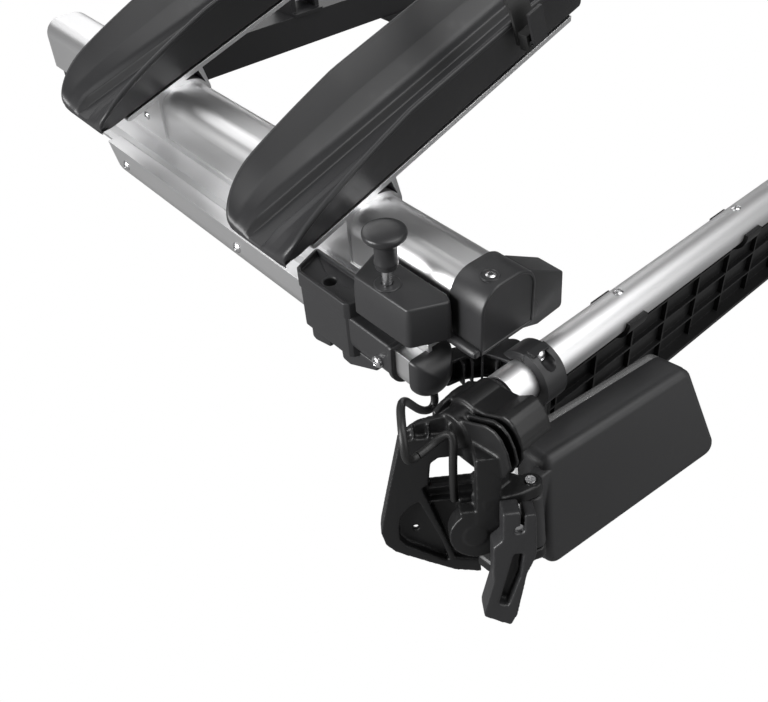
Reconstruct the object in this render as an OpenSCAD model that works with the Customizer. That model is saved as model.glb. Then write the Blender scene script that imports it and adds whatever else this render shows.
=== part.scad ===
// Platform bike carrier for a tow ball: two aluminium rails with four inclined wheel trays,
// a light carriage that slides out on guide profiles under the rails, and fold-in lamps.
// Millimetres. X runs across the vehicle, Y forwards to the vehicle, Z up.
// The origin is the centre of the tow ball.

/* [Platform] */
// Distance between the outer walls of the two rails
rail_span = 1000; // [900:10:1150]
// Length of each rail
rail_len = 700; // [660:10:800]
// Distance from the ball centre back to the rear ends of the rails
tail_y = 800; // [780:10:950]
// Height of the underside of the rails above the ball centre
deck_z = 72; // [60:2:100]
// Distance between the two rows of wheel trays
tray_pitch = 293; // [220:1:330]
// Distance from the rear end of a rail to the middle of the rear trays
rear_tray_y = 192; // [185:1:230]

/* [Rails] */
// Width of a rail
rail_w = 54; // [48:1:64]
// Height of a rail
rail_h = 55; // [50:1:62]
// Radius of the two upper edges of a rail
rail_r = 19; // [12:1:23]
// Wall of the extruded rail
rail_wall = 2.6; // [2:0.2:4]
// Distance that the ledge stands out beside a rail
ledge_w = 21; // [20:0.5:24]
// Thickness of the ledge and of the hook under it
ledge_t = 3; // [2:0.5:4]

/* [Guide profiles] */
// Width of a guide profile
guide_w = 33; // [30:1:37]
// Height of a guide profile
guide_h = 36.5; // [32:0.5:40]
// Wall of a guide profile
guide_wall = 2.5; // [2:0.1:3]
// Length of a guide profile
guide_len = 474; // [420:2:520]
// Running gap between parts that slide on each other
slide_gap = 0.3; // [0.2:0.1:0.5]

/* [Wheel trays] */
// Rise of the trays towards the middle of the carrier, in degrees
tray_tilt = 18.6; // [8:0.2:22]
// Length of a wheel tray
tray_len = 360; // [330:10:380]
// Width of a wheel tray across its rims
tray_w = 102; // [90:1:116]
// Width of the base of a wheel tray
tray_base_w = 82; // [70:1:90]
// Height of the rims above the base of the tray
tray_h = 50; // [40:1:56]
// Thickness of the aluminium bar under a tray
bar_t = 4.5; // [3:0.5:6]

/* [Light carriage] */
// Diameter of the crossbar
bar_d = 34; // [30:1:38]
// Wall of the crossbar
bar_wall = 2; // [1.5:0.1:3]
// Height of the number plate board
board_h = 104; // [96:1:116]
// Travel of the light carriage
carriage_travel = 75; // [60:1:80]
// Diameter of the plunger pins
pin_d = 8; // [6:0.5:9]
// Travel of the plunger pins
pin_travel = 12; // [10:0.5:13]
// Diameter of the lamp cables
cable_d = 6.4; // [5:0.2:8]

/* [Lamps] */
// Length of a lamp along its lower edge
lamp_len = 205; // [180:1:230]
// Height of a lamp
lamp_h = 102; // [90:1:112]
// Depth of a lamp housing
lamp_t = 34; // [28:1:40]
// Angle by which the folded lamps stand open, in degrees
lamp_ajar = 7; // [2:1:12]
// Lean of the lamps from the vertical, in degrees
lamp_lean = 15; // [0:1:20]

/* [Bike support] */
// Height of the support hoop above its hinge
hoop_h = 620; // [500:10:720]
// Distance between the legs of the hoop
hoop_w = 380; // [300:10:460]
// Diameter of the hoop tube
hoop_d = 30; // [26:1:34]
// Reach of the long bike arm
arm_long_reach = 330; // [250:10:380]
// Reach of the short bike arm
arm_short_reach = 130; // [100:10:200]

/* [Coupling] */
// Diameter of the tow ball
ball_d = 50; // [49:0.1:51]
// Gap between the ball and its socket
ball_gap = 0.4; // [0.2:0.1:0.8]

/* [Hidden] */
$fn = 48;

// Rail places, in the frame of the left rear corner: x inwards from the outer wall of the rail,
// y forwards from the rear face of the end cap, z up from the underside of the rail
rail_x = 1;
rail_in = rail_x + rail_w;
cap_wall = 2;
cap_len = 34;
cap_back = 3;
ledge_y = cap_len + 2.5;
beam_y = 624;
beam_w = 60;
beam_h = 42;
hook_w = 18;
stem_w = 3.4;
hook_z = -(ledge_t + 6.5 + guide_wall + slide_gap);

// Guide profile
guide_top = -9.5;
guide_x = rail_x - ledge_w + stem_w / 2;
guide_r = guide_w / 2;
guide_zc = guide_top - guide_h + guide_r;
guide_y = 36;

// Screw on top of the end cap
cap_screw_x = 21;
cap_screw_y = 13;

// Plunger and catch
pin_x = -27;
pin_y = 72;
house_z = 8;
house_h = 35;
house_out = -39.5;
house_in = -2.6;
pin_rest = pin_travel + 0.5;
block_rim_z = 7.5;

// Crossbar axis
tube_y = -15;
tube_z = -33;
tube_r = bar_d / 2;

// Lamp hinge
hinge_x = -20;
hinge_y = -70;
hinge_r = 4;
lamp_x = 1;
lamp_back_y = -62;
lamp_top_z = -64;

// Wheel tray frame: its origin is the outer end of the bar under the tray
tray_x = -36;
tray_z = 41.5;
bar_len = tray_len - 42;

// Bike support
hoop_y = -150;
hoop_z = deck_z + 26;
hoop_r = hoop_d / 2;
hoop_bend = 70;

module left() { translate([-rail_span / 2, -tail_y, deck_z]) children(); }
module right() { mirror([1, 0, 0]) left() children(); }

// Extrusion of an x-z outline from y0 to y1
module along_y(y0, y1) {
    translate([0, y1, 0]) rotate([90, 0, 0]) linear_extrude(y1 - y0) children();
}

// Extrusion of a y-z outline from x0 to x1
module along_x(x0, x1) {
    translate([x0, 0, 0]) rotate([90, 0, 90]) linear_extrude(x1 - x0) children();
}

// Flat-bottomed outline with two rounded upper corners
module d_outline(x0, x1, z0, z1, r) {
    translate([x0, z0]) square([x1 - x0, z1 - z0 - r]);
    translate([x0 + r, z0]) square([x1 - x0 - 2 * r, z1 - z0]);
    for (x = [x0 + r, x1 - r]) translate([x, z1 - r]) circle(r);
}

// Upright outline with a round lower end
module u_outline(grow) {
    translate([guide_x, guide_zc]) circle(guide_r + grow);
    translate([guide_x - guide_r - grow, guide_zc])
        square([guide_w + 2 * grow, guide_top + grow - guide_zc]);
}

// Button-head screw that points along -Z, with its seat at the origin
module button_screw(d, len) {
    difference() {
        intersection() {
            cylinder(h = 0.55 * d, d = 1.8 * d);
            translate([0, 0, -0.9 * d]) sphere(1.35 * d);
        }
        translate([0, 0, 0.25 * d]) cylinder(h = d, d = 0.85 * d, $fn = 6);
    }
    if (len > 0) translate([0, 0, -len]) cylinder(h = len, d = d);
}

// Rail with its ledge, the hook under it and the bead along its foot
module rail() {
    color("silver") {
        difference() {
            along_y(cap_back, rail_len) difference() {
                d_outline(rail_x, rail_in, 0, rail_h, rail_r);
                d_outline(rail_x + rail_wall, rail_in - rail_wall, rail_wall,
                    rail_h - rail_wall, rail_r - rail_wall);
            }
            translate([cap_screw_x, cap_screw_y, rail_h - 5]) cylinder(h = 10, d = 6.1);
        }
        along_y(ledge_y, beam_y - 8) {
            translate([rail_x - ledge_w, -ledge_t]) square([ledge_w, ledge_t]);
            translate([guide_x - stem_w / 2, hook_z - ledge_t])
                square([stem_w, -hook_z]);
            translate([guide_x - hook_w / 2, hook_z - ledge_t]) square([hook_w, ledge_t]);
            translate([rail_x - 1.5, 0]) square([1.5, 5]);
            translate([rail_x, 5]) circle(1.5);
        }
    }
}

// End cap with its screw seat, its side lug and the slanted box on its inner side
module end_cap() {
    color([0.09, 0.09, 0.1]) difference() {
        union() {
            along_y(0, cap_len)
                d_outline(rail_x - cap_wall, rail_in + cap_wall, 0, rail_h + cap_wall + 1.5,
                    rail_r + cap_wall);
            along_y(2, cap_len - 2) translate([rail_x - 4, 3]) circle(4.5);
            along_y(1, cap_len - 5)
                polygon([[rail_in, 2], [rail_in, 50], [rail_in + 35, 31], [rail_in + 38, -6],
                    [rail_in + 10, -8], [rail_in + 6, 2]]);
        }
        along_y(cap_back, cap_len + 1)
            d_outline(rail_x, rail_in, -1, rail_h, rail_r);
        translate([cap_screw_x, cap_screw_y, rail_h + cap_wall + 1.5]) cylinder(h = 3, d = 13, center = true);
        translate([cap_screw_x, cap_screw_y, rail_h - 1]) cylinder(h = 8, d = 6.1);
    }
}

module front_beam() {
    reach = rail_span / 2 - 6;
    color([0.2, 0.2, 0.21]) translate([0, -tail_y, deck_z]) difference() {
        along_x(-reach, reach) difference() {
            translate([beam_y, -beam_h]) square([beam_w, beam_h]);
            translate([beam_y + 3, -beam_h + 3]) square([beam_w - 6, beam_h - 6]);
        }
    }
}

module beam_end_caps() {
    reach = rail_span / 2 - 6;
    color([0.09, 0.09, 0.1]) for (s = [-1, 1]) translate([0, -tail_y, deck_z]) {
        translate([s * (reach + 2), beam_y + beam_w / 2, -beam_h / 2])
            cube([4, beam_w, beam_h], center = true);
        translate([s * (reach - 8), beam_y + beam_w / 2, -beam_h / 2])
            cube([16, beam_w - 6, beam_h - 6], center = true);
    }
}

// Tray stations: [place along the tray, rim height, half width near side, half width far side]
tray_tip = -28;
tray_sections = [
    [tray_tip, 0.16, 0.84, 0.62], [-24, 0.32, 0.93, 0.74], [-12, 0.52, 0.98, 0.86],
    [4, 0.66, 1, 0.94], [24, 0.77, 1, 0.98], [52, 0.87, 1, 1], [82, 0.95, 1, 1],
    [115, 1, 1, 1], [tray_len - 90, 1, 1, 1], [tray_len - 50, 0.9, 1, 1],
    [tray_len + tray_tip, 0.72, 0.95, 0.95]];

// Closed outline of the tray's shell across the tray: outer walls, rims, sloped floor and groove
function tray_ring(q) =
    let (h = q[1] * tray_h, n = q[2] * tray_w / 2, f = q[3] * tray_w / 2,
        bn = q[2] * tray_base_w / 2, bf = q[3] * tray_base_w / 2, wall = 3,
        floor_h = min(14, 0.5 * h), groove = min(5, 0.3 * h))
    [[-bn, 0], [bf, 0], [f - 2, h - 3], [f, h], [f - wall, h],
        [0.5 * f, floor_h], [11, floor_h - 1], [7, groove], [-7, groove], [-11, floor_h - 1],
        [-0.5 * n, floor_h], [-(n - wall), h], [-n, h], [-(n - 2), h - 3]];

module tray_shell() {
    rings = [for (q = tray_sections) [for (p = tray_ring(q)) [q[0], p[0], p[1]]]];
    m = len(rings[0]);
    last = len(rings) - 1;
    points = [for (r = rings) each r];
    sides = [for (i = [0:last - 1]) for (j = [0:m - 1])
        let (a = i * m + j, b = i * m + (j + 1) % m) each [[a, b, b + m], [a, b + m, a + m]]];
    ends = [[for (j = [m - 1:-1:0]) j], [for (j = [0:m - 1]) last * m + j]];
    polyhedron(points, concat(sides, ends), convexity = 6);
}

module in_tray(row_y) {
    translate([tray_x, row_y, tray_z]) rotate([0, -tray_tilt, 0]) children();
}

module tray(row_y) {
    color([0.12, 0.12, 0.13]) in_tray(row_y) tray_shell();
}

// Bracket under a tray: one extrusion, with an arch over the rail, a sloped bar and an inner leg
arch_wall = 2.6;
arch_foot = 7;
module tray_bracket(row_y) {
    half = tray_base_w / 2;
    s = tan(tray_tilt);
    top_z = function(x) tray_z + s * (x - tray_x);
    bar_z = function(x) top_z(x) - bar_t / cos(tray_tilt);
    out_x = rail_x - arch_wall;
    in_x = rail_in + arch_wall;
    leg_x = rail_in - 3;
    end_x = tray_x + bar_len * cos(tray_tilt);
    arch_z = rail_h - rail_r;
    color("silver") difference() {
        along_y(row_y - half, row_y + half) difference() {
            polygon([[tray_x, tray_z - 1.5], [tray_x + 1, top_z(tray_x + 1)],
                [end_x, top_z(end_x)], [end_x, bar_z(end_x)], [leg_x, bar_z(leg_x)],
                [in_x, rail_h - 10], [in_x, arch_foot], [out_x, arch_foot], [out_x, bar_z(out_x)],
                [tray_x + 3, bar_z(tray_x + 3)], [tray_x, tray_z - 3]]);
            d_outline(rail_x, rail_in, -1, rail_h, rail_r);
            polygon(concat([[31, bar_z(31) - 0.4], [leg_x - 5, bar_z(leg_x - 5) - 0.2]],
                [for (a = [38:10:88]) [rail_in - rail_r, arch_z]
                    + (rail_r + arch_wall + 0.4) * [cos(a), sin(a)]]));
        }
        translate([out_x - 1, row_y - half + 33, 20]) rotate([0, 90, 0]) cylinder(h = 4, d = 5.1);
    }
}

// Wheel strap: a flat band that arches from rim to rim over the tray, and its buckle base
strap_s = 250;
module wheel_strap(row_y) {
    arch_r = tray_w / 2 + 3.4;
    color([0.07, 0.07, 0.07]) in_tray(row_y) {
        translate([strap_s - 11, 0, tray_h]) rotate([90, 0, 90]) linear_extrude(22)
            intersection() {
                difference() {
                    circle(arch_r);
                    circle(arch_r - 3);
                }
                translate([-80, 0]) square([160, 80]);
            }
        for (y = [-1, 1]) translate([strap_s - 11, y * (arch_r - 1.5) - 1.5, tray_h - 22])
            cube([22, 3, 22]);
        translate([strap_s - 10, -arch_r - 10, tray_h - 26]) cube([20, 10, 16]);
    }
}

module buckle_lever(row_y) {
    arch_r = tray_w / 2 + 3.4;
    color([0.1, 0.1, 0.1]) in_tray(row_y) translate([strap_s, -arch_r - 13.3, tray_h - 18])
        difference() {
            union() {
                translate([-8, -3, 0]) cube([16, 3, 30]);
                translate([-8, 0, 0]) rotate([0, 90, 0]) cylinder(h = 16, r = 3);
            }
            translate([-9, 0, 0]) rotate([0, 90, 0]) cylinder(h = 18, r = 1.2);
        }
}

// Plunger housing beside the rail, bored for the plunger and its spring
house_plan = [[house_out, 44], [house_out, 99], [-34, 108], [-5, 119], [house_in, 104],
    [house_in, 52], [-6, 37], [-11, 32], [-34, 38]];
module plunger_housing() {
    color([0.1, 0.1, 0.105]) difference() {
        union() {
            translate([0, 0, house_z]) linear_extrude(house_h - 2) polygon(house_plan);
            hull() {
                translate([0, 0, house_z + house_h - 2.1]) linear_extrude(0.1)
                    polygon(house_plan);
                translate([-21, 74, house_z + house_h - 0.1]) linear_extrude(0.1)
                    scale([0.9, 0.95]) translate([21, -74]) polygon(house_plan);
            }
            translate([-7.4, 50, 0]) cube([4.8 + 1.1, 54, house_z]);
        }
        translate([pin_x, pin_y, house_z - 1]) cylinder(h = house_h + 2, d = pin_d + 0.1);
        translate([pin_x, pin_y, house_z + 3]) cylinder(h = house_h - 10, d = 15);
    }
}

knob_z = house_z + house_h + pin_travel + 4;
knob_bore = 17;
module plunger_pin() {
    color("silver") translate([pin_x, pin_y, 0]) {
        translate([0, 0, house_z + 0.4]) cylinder(h = knob_z + knob_bore - house_z - 0.4, d = pin_d);
        translate([0, 0, house_z + 3 + pin_rest]) cylinder(h = 2.5, d = 14);
    }
}

module plunger_knob() {
    color([0.07, 0.07, 0.075]) translate([pin_x, pin_y, knob_z]) difference() {
        rotate_extrude() polygon([[0, 0], [7.4, 0], [8.4, 1.2], [8.4, 18], [9.6, 22],
            [15, 26.2], [16.4, 28], [16.7, 29.6], [16.2, 31.2], [13, 33.6], [7, 35.6], [0, 36.4]]);
        translate([0, 0, -1]) cylinder(h = knob_bore + 1, d = pin_d);
    }
}

// Pressure spring round the pin, from the roof of the housing down to the collar of the pin
module plunger_spring() {
    turns = 4;
    z0 = house_z + 3 + pin_rest + 2.5 + 0.05;
    z1 = house_z + house_h - 7 - 0.05;
    wire = 0.7;
    coil_r = 5.6;
    steps = turns * 8;
    ring = 6;
    pts = [for (i = [0:steps]) for (k = [0:ring - 1])
        let (a = i * 45, b = k * 360 / ring, r = coil_r + wire * cos(b))
        [r * cos(a), r * sin(a), z0 + wire + (z1 - z0 - 2 * wire) * i / steps + wire * sin(b)]];
    sides = [for (i = [0:steps - 1]) for (k = [0:ring - 1])
        let (a = i * ring + k, b = i * ring + (k + 1) % ring)
        each [[a, b, b + ring], [a, b + ring, a + ring]]];
    ends = [[for (k = [ring - 1:-1:0]) k], [for (k = [0:ring - 1]) steps * ring + k]];
    color("silver") translate([pin_x, pin_y, 0])
        polyhedron(pts, concat(sides, ends), convexity = 8);
}

// Guide profile under the ledge: round below, slotted above for the stem of the hook
bolt_ys = [240, 442];
module guide_profile() {
    front = guide_y + guide_len;
    color("silver") difference() {
        along_y(guide_y, front) difference() {
            u_outline(0);
            u_outline(-guide_wall);
            translate([guide_x - stem_w / 2 - slide_gap, guide_top - 5])
                square([stem_w + 2 * slide_gap, 10]);
        }
        for (y = bolt_ys) translate([guide_x - guide_r - 1, guide_y + y, guide_zc + 4])
            rotate([0, 90, 0]) cylinder(h = guide_wall + 2, d = 6.1);
        translate([0, front, guide_top]) rotate([-32, 0, 0]) translate([-60, 0, -60])
            cube([80, 40, 80]);
    }
}

module guide_plug() {
    front = guide_y + guide_len;
    color([0.09, 0.09, 0.1]) difference() {
        along_y(front - 60, front) difference() {
            u_outline(-guide_wall);
            translate([guide_x - 20, hook_z - ledge_t - 1.5]) square([40, 40]);
        }
        translate([0, front, guide_top]) rotate([-32, 0, 0]) translate([-60, 0, -60])
            cube([80, 40, 80]);
    }
}

// Catch block round the guide profile: a recessed top with the hole for the pin
catch_y = pin_y + carriage_travel;
module catch_block() {
    y0 = 120;
    y1 = 190;
    color([0.1, 0.1, 0.105]) difference() {
        union() {
            translate([0, 0, -53]) linear_extrude(53 + block_rim_z)
                polygon([[-39.5, y0 + 3], [-36, y0], [-8.2, y0], [-8.2, y1 + 4], [-34, y1],
                    [-39.5, y1 - 9]]);
            along_y(84, y0) u_outline(3.4);
            along_y(68, 74) u_outline(4.2);
            along_y(y0 - 12, y1 - 14) translate([guide_x - 12, -59]) square([24, 8]);
            translate([guide_x - guide_r - 8, 96, -46]) cube([12, 14, 12]);
        }
        along_y(60, 200) {
            u_outline(0);
            translate([guide_x - stem_w / 2 - slide_gap, guide_top - 1])
                square([60, -guide_top - ledge_t + 1]);
            translate([rail_x - ledge_w - slide_gap, -ledge_t - slide_gap])
                square([60, ledge_t + 2 * slide_gap]);
        }
        translate([0, 0, block_rim_z - 4]) linear_extrude(10)
            polygon([[-36.5, y0 + 5], [-35, y0 + 3], [-11.2, y0 + 3], [-11.2, y1], [-33, y1 - 3],
                [-36.5, y1 - 10]]);
        translate([pin_x, catch_y, -8]) cylinder(h = 20, d = pin_d + 1);
        translate([guide_x - 30, 60, guide_top - 0.01]) cube([60, 59.9, 40]);
    }
}

// Rear cap of the guide profile with the ribbed arm that carries the crossbar clamp
clamp_zs = [21.5, -21.5];
module carriage_arm() {
    color([0.08, 0.08, 0.085]) difference() {
        union() {
            along_y(30, 44) u_outline(2.6);
            along_x(30, 52) translate([tube_y, tube_z]) circle(26);
            translate([0, 0, -44]) linear_extrude(24)
                polygon([[-12, 30], [-12, 44], [4, 44], [52, 12], [52, -12], [30, -12], [24, 14],
                    [12, 25.5], [0, 30]]);
        }
        along_y(guide_y, 60) {
            u_outline(0);
            translate([guide_x - stem_w / 2 - slide_gap, guide_top - 1])
                square([stem_w + 2 * slide_gap, 20]);
        }
        along_x(20, 60) translate([tube_y, tube_z]) circle(tube_r + slide_gap);
        along_x(20, 60) translate([tube_y - 40, tube_z - 40]) square([40, 80]);
        for (z = clamp_zs) translate([41, tube_y - 1, tube_z + z])
            rotate([-90, 0, 0]) cylinder(h = 5, d = 6.1);
        for (k = [0:1]) translate([14 + k * 12, 28 - k * 8, -46])
            rotate([0, 0, -35]) cube([8, 8, 22]);
    }
}

module tube_clamp() {
    color([0.1, 0.1, 0.105]) difference() {
        union() {
            along_x(30, 52) difference() {
                translate([tube_y, tube_z]) circle(26);
                translate([tube_y, tube_z - 40]) square([60, 80]);
            }
            for (z = [22, -22]) translate([33, tube_y - 8, tube_z + z - 5]) cube([16, 8, 10]);
        }
        along_x(20, 60) translate([tube_y, tube_z]) circle(tube_r + slide_gap);
        for (z = clamp_zs) translate([41, tube_y, tube_z + z]) rotate([90, 0, 0]) {
            translate([0, 0, 7]) cylinder(h = 30, d = 12);
            translate([0, 0, -2]) cylinder(h = 12, d = 6.1);
        }
    }
}

tube_end = 5;
module crossbar() {
    reach = rail_span / 2 - tube_end;
    color("silver") translate([0, tube_y - tail_y, tube_z + deck_z]) rotate([0, 90, 0])
        difference() {
            cylinder(h = 2 * reach, r = tube_r, center = true);
            cylinder(h = 2 * reach + 2, r = tube_r - bar_wall, center = true);
        }
}

// Number plate board: a ribbed panel in a rounded rim, screwed under the crossbar by cradles
board_in = 60;
board_y = -6;
module board_outline(inset) {
    w = rail_span - 2 * board_in - 2 * inset;
    h = board_h - 2 * inset;
    r = 34 - inset;
    translate([-w / 2, tube_z - tube_r - board_h + inset]) {
        translate([r, 0]) square([w - 2 * r, h]);
        translate([0, r]) square([w, h - r]);
        for (x = [r, w - r]) translate([x, r]) circle(r);
    }
}
saddles = [150, 330];
module plate_board() {
    ribs = 16;
    step = (rail_span - 2 * board_in - 40) / ribs;
    top = tube_z - tube_r;
    color([0.1, 0.1, 0.105]) translate([0, -tail_y, deck_z]) difference() {
        union() {
            along_y(board_y, board_y + 3) board_outline(0);
            along_y(board_y - 12, board_y) difference() {
                board_outline(0);
                board_outline(4);
            }
            along_y(board_y - 5, board_y) intersection() {
                board_outline(2);
                union() {
                    for (k = [0:ribs]) translate([(k - ribs / 2) * step - 1, top - board_h])
                        square([2, board_h]);
                    for (k = [1:3]) translate([-rail_span / 2, top - k * board_h / 4])
                        square([rail_span, 2]);
                }
            }
            for (s = [-1, 1]) for (x = saddles)
                along_x(s * (rail_span / 2 - x) - 12, s * (rail_span / 2 - x) + 12) {
                    intersection() {
                        translate([tube_y, tube_z]) circle(tube_r + 4);
                        translate([tube_y - 30, tube_z - 30]) square([60, 32]);
                    }
                    translate([board_y - 4, top - 20]) square([7, 30]);
                }
        }
        along_x(-rail_span, rail_span) translate([tube_y, tube_z]) circle(tube_r);
        for (x = plate_holes) for (z = plate_rows)
            translate([x, board_y - 20, z]) rotate([-90, 0, 0]) cylinder(h = 40, d = 4.2);
    }
}
plate_holes = [-240, 240];
plate_rows = [tube_z - tube_r - 30, tube_z - tube_r - 84];

// Bracket on the end of the crossbar: a spigot in the tube, ribs and a hood round it, a leaning
// wall with a window and a pocket at its outer corner, and the fork of the lamp hinge
fork_top = -62;
fork_h = 66;
ear_h = 10;
ear_r = 8.5;
knuckle_gap = 2;
hinge_lean = lamp_lean / 2;
swing_place = [-52, -15, -35];
swing_turn = -36.87;
swing_lean = -11;
wall_t = 12;
rib_xs = [-44, -37, -31];

// Hinge frame: its Z axis is the lean axis of the lamp hinge, from the top of the fork
module in_hinge() {
    translate([hinge_x, hinge_y, fork_top]) rotate([-hinge_lean, 0, 0]) children();
}

// Corner frame: x along the leaning wall, y away from its front face, z up from its top edge
module in_swing() {
    translate(swing_place) rotate([0, 0, swing_turn]) rotate([swing_lean, 0, 0]) children();
}

// Side outline of the hood behind the tube, as y and z
hood_line = [[-14, -16], [-38, -12], [-50, -2.5], [-56, -2], [-61, -5], [-66, -12], [-70.5, -23]];
module hood_side() {
    polygon(concat(hood_line, [[-67, -27], [-2, -27]]));
}
module rib_side() {
    polygon([[4, -58], [4, -40], [-8, -24], [-32, -13], [-45, -6], [-54, -5], [-61, -9], [-67, -18],
        [-71, -30], [-66, -44], [-40, -58]]);
}

// Wall outline: top bar, outboard arm and the rounded panel that holds the pocket
module wall_face() {
    polygon([[-34, 0], [30, 0], [30, -18.5], [-7, -18.5], [-12, -23], [-14, -42], [-19, -45],
        [-6, -84], [4, -117], [24, -122], [24, -134], [3, -129], [-31, -110.5],
        [-42, -104], [-49, -96], [-52, -84], [-51, -76]]);
}
module pocket_face() {
    polygon([[-22, -57], [-31, -63], [-36, -70], [-38, -80], [-38, -92], [-33, -99],
        [0, -120], [-6, -98]]);
}

module lamp_bracket() {
    low = fork_top - fork_h;
    color([0.09, 0.09, 0.095]) difference() {
        union() {
            along_x(-46, 40) translate([tube_y, tube_z]) circle(tube_r - bar_wall - 0.05);
            along_x(-31, 0) translate([tube_y, tube_z]) circle(tube_r + 2);
            along_y(2, 6) polygon([[-46, -58], [-46, -28], [-38, -23.5], [-24, -20.5], [-8, -22.5],
                [2, -30], [2, -58]]);
            difference() {
                along_x(-31, 0) hood_side();
                along_x(-28.5, -2.5) translate([0, -3]) hood_side();
            }
            for (x = rib_xs) along_x(x, x + 2.6) rib_side();
            in_swing() {
                along_y(0, wall_t) wall_face();
                along_y(6, wall_t) polygon([[-31, -2], [30, -2], [30, 13], [-6, 13], [-20, 10], [-31, 2]]);
                for (x = [-24, -13, 2, 12]) translate([x, 1, -2]) cube([1.6, 6, 12]);
                along_y(8, wall_t) polygon([[-20, -44], [30, -44], [30, -121], [3, -128], [-8, -90]]);
                for (z = [-47, -60]) translate([-14, 1, z]) cube([42, 8, 1.6]);
                translate([17, -32.6, -62]) cube([18, 11, 64]);
                translate([17, -22, -9]) cube([18, 28, 11]);
                translate([20, -22, -46]) cube([12, 34, 4]);
                translate([5, -32, -47]) cube([12, 12, 3]);
                translate([18, -32, -66]) rotate([-90, 0, 0]) cylinder(h = 14, r = 21);
                translate([16, -33, -66]) rotate([-90, 0, 0]) cylinder(h = 10, r = 9);
                translate([8, -20, -72]) cube([16, 30, 12]);
                translate([30, -28, -60]) cube([18.4, 8, 18]);
            }
            in_hinge() {
                for (z = [-ear_h, -fork_h - ear_h]) {
                    translate([0, 0, z]) cylinder(h = ear_h, r = ear_r);
                    translate([0, 0, z]) linear_extrude(ear_h)
                        polygon([[0, -ear_r], [0, ear_r], [-6, 24], [-38, 24], [-38, 10], [-14, -4]]);
                }
                translate([-36, 11, -fork_h - ear_h]) cube([26, 13, fork_h + ear_h + 12]);
            }
        }
        in_swing() {
            along_y(-1, 7) pocket_face();
            translate([-25, -1, -88]) rotate([-90, 0, 0]) cylinder(h = 30, d = 5);
            translate([cam_a, -60, cam_z]) rotate([-90, 0, 0]) cylinder(h = 60, r = 4);
        }
        along_x(tube_end, 60) difference() {
            translate([tube_y, tube_z]) circle(tube_r);
            translate([tube_y, tube_z]) circle(tube_r - bar_wall);
        }
        in_hinge() translate([0, 0, -fork_h - 40]) cylinder(h = fork_h + 60, r = hinge_r);
    }
}

module lamp_hinge_pin() {
    color("silver") in_hinge() translate([0, 0, -fork_h - ear_h - 2])
        cylinder(h = fork_h + ear_h + 3, r = hinge_r);
}

// Lamp frame: s along the lamp from its hinge end, v down its face, n towards its back
module in_lamp() {
    in_hinge() rotate([0, 0, -lamp_ajar]) rotate([hinge_lean, 0, 0])
        translate([lamp_x - hinge_x, lamp_back_y - hinge_y, lamp_top_z - fork_top])
            rotate([90 - lamp_lean, 0, 0]) children();
}

lamp_r = 9;
lamp_slant = 0.14;
module lamp_outline(inset) {
    a = lamp_slant * lamp_h;
    pts = [[lamp_r + inset, -lamp_r - inset],
        [lamp_len - 3 * a - lamp_r - inset, -lamp_r - inset],
        [lamp_len - a - lamp_r - inset, -lamp_h + lamp_r + inset],
        [-a + lamp_r + inset, -lamp_h + lamp_r + inset]];
    hull() for (p = pts) translate(p) circle(lamp_r, $fn = 24);
}

module lamp_housing() {
    color([0.08, 0.08, 0.085]) difference() {
        union() {
            in_lamp() {
                translate([0, 0, -lamp_t]) linear_extrude(lamp_t) lamp_outline(0);
            }
            in_hinge() translate([0, 0, -fork_h + knuckle_gap]) rotate([0, 0, -lamp_ajar]) {
                cylinder(h = fork_h - ear_h - 2 * knuckle_gap, r = ear_r);
                linear_extrude(fork_h - ear_h - 2 * knuckle_gap)
                    polygon([[0, -ear_r], [26, -14], [26, 4], [0, ear_r]]);
            }
        }
        in_lamp() translate([0, 0, -lamp_t - 1]) linear_extrude(lamp_t - 2) lamp_outline(3);
        in_hinge() translate([0, 0, -fork_h - 20]) cylinder(h = fork_h + 40, r = hinge_r + 0.06);
    }
}

module lamp_lens() {
    color([0.85, 0.85, 0.85]) in_lamp() difference() {
        translate([0, 0, -lamp_t - 10]) linear_extrude(10) lamp_outline(0);
        translate([0, 0, -lamp_t - 8]) linear_extrude(12) lamp_outline(3);
    }
}

module lamp_insert() {
    color("silver") in_lamp() translate([0, 0, -lamp_t + 8]) linear_extrude(3) lamp_outline(3.2);
    color("white") in_lamp() for (x = bulb_s)
        translate([x, -lamp_h / 2, -lamp_t - 2]) cylinder(h = 10, d = 16);
}
bulb_s = [42, 92, 142];

// Cam lever on the face of the corner: a slotted head on its pin, a waist and a grip with a recess
cam_a = 45;
cam_z = -50;
cam_front = -49.4;
cam_t = 16;
module cam_lever() {
    color([0.11, 0.11, 0.115]) in_swing() translate([cam_a, cam_front, cam_z]) difference() {
        union() {
            rotate([-90, 0, 0]) cylinder(h = cam_t, r = 11);
            along_y(0, cam_t) polygon([[-12, 16], [1, 16], [1, 13], [12, 13], [13, -22], [11, -30],
                [6, -42], [-1, -82], [-6, -92], [-26, -80], [-26, -74], [-19, -46], [-19, -14],
                [-12, -8]]);
        }
        translate([1, -1, -2]) cube([2.6, cam_t + 2, 20]);
        along_y(-1, 9) polygon([[-4, -22], [3, -22], [1, -44], [-8, -72], [-15, -69], [-9, -44]]);
        rotate([-90, 0, 0]) translate([0, 0, -1]) cylinder(h = cam_t + 2, r = 3.5);
    }
}
module cam_pin() {
    color("silver") in_swing() translate([cam_a, cam_front + 3, cam_z]) rotate([-90, 0, 0])
        cylinder(h = 26, r = 3.44);
}

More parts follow.
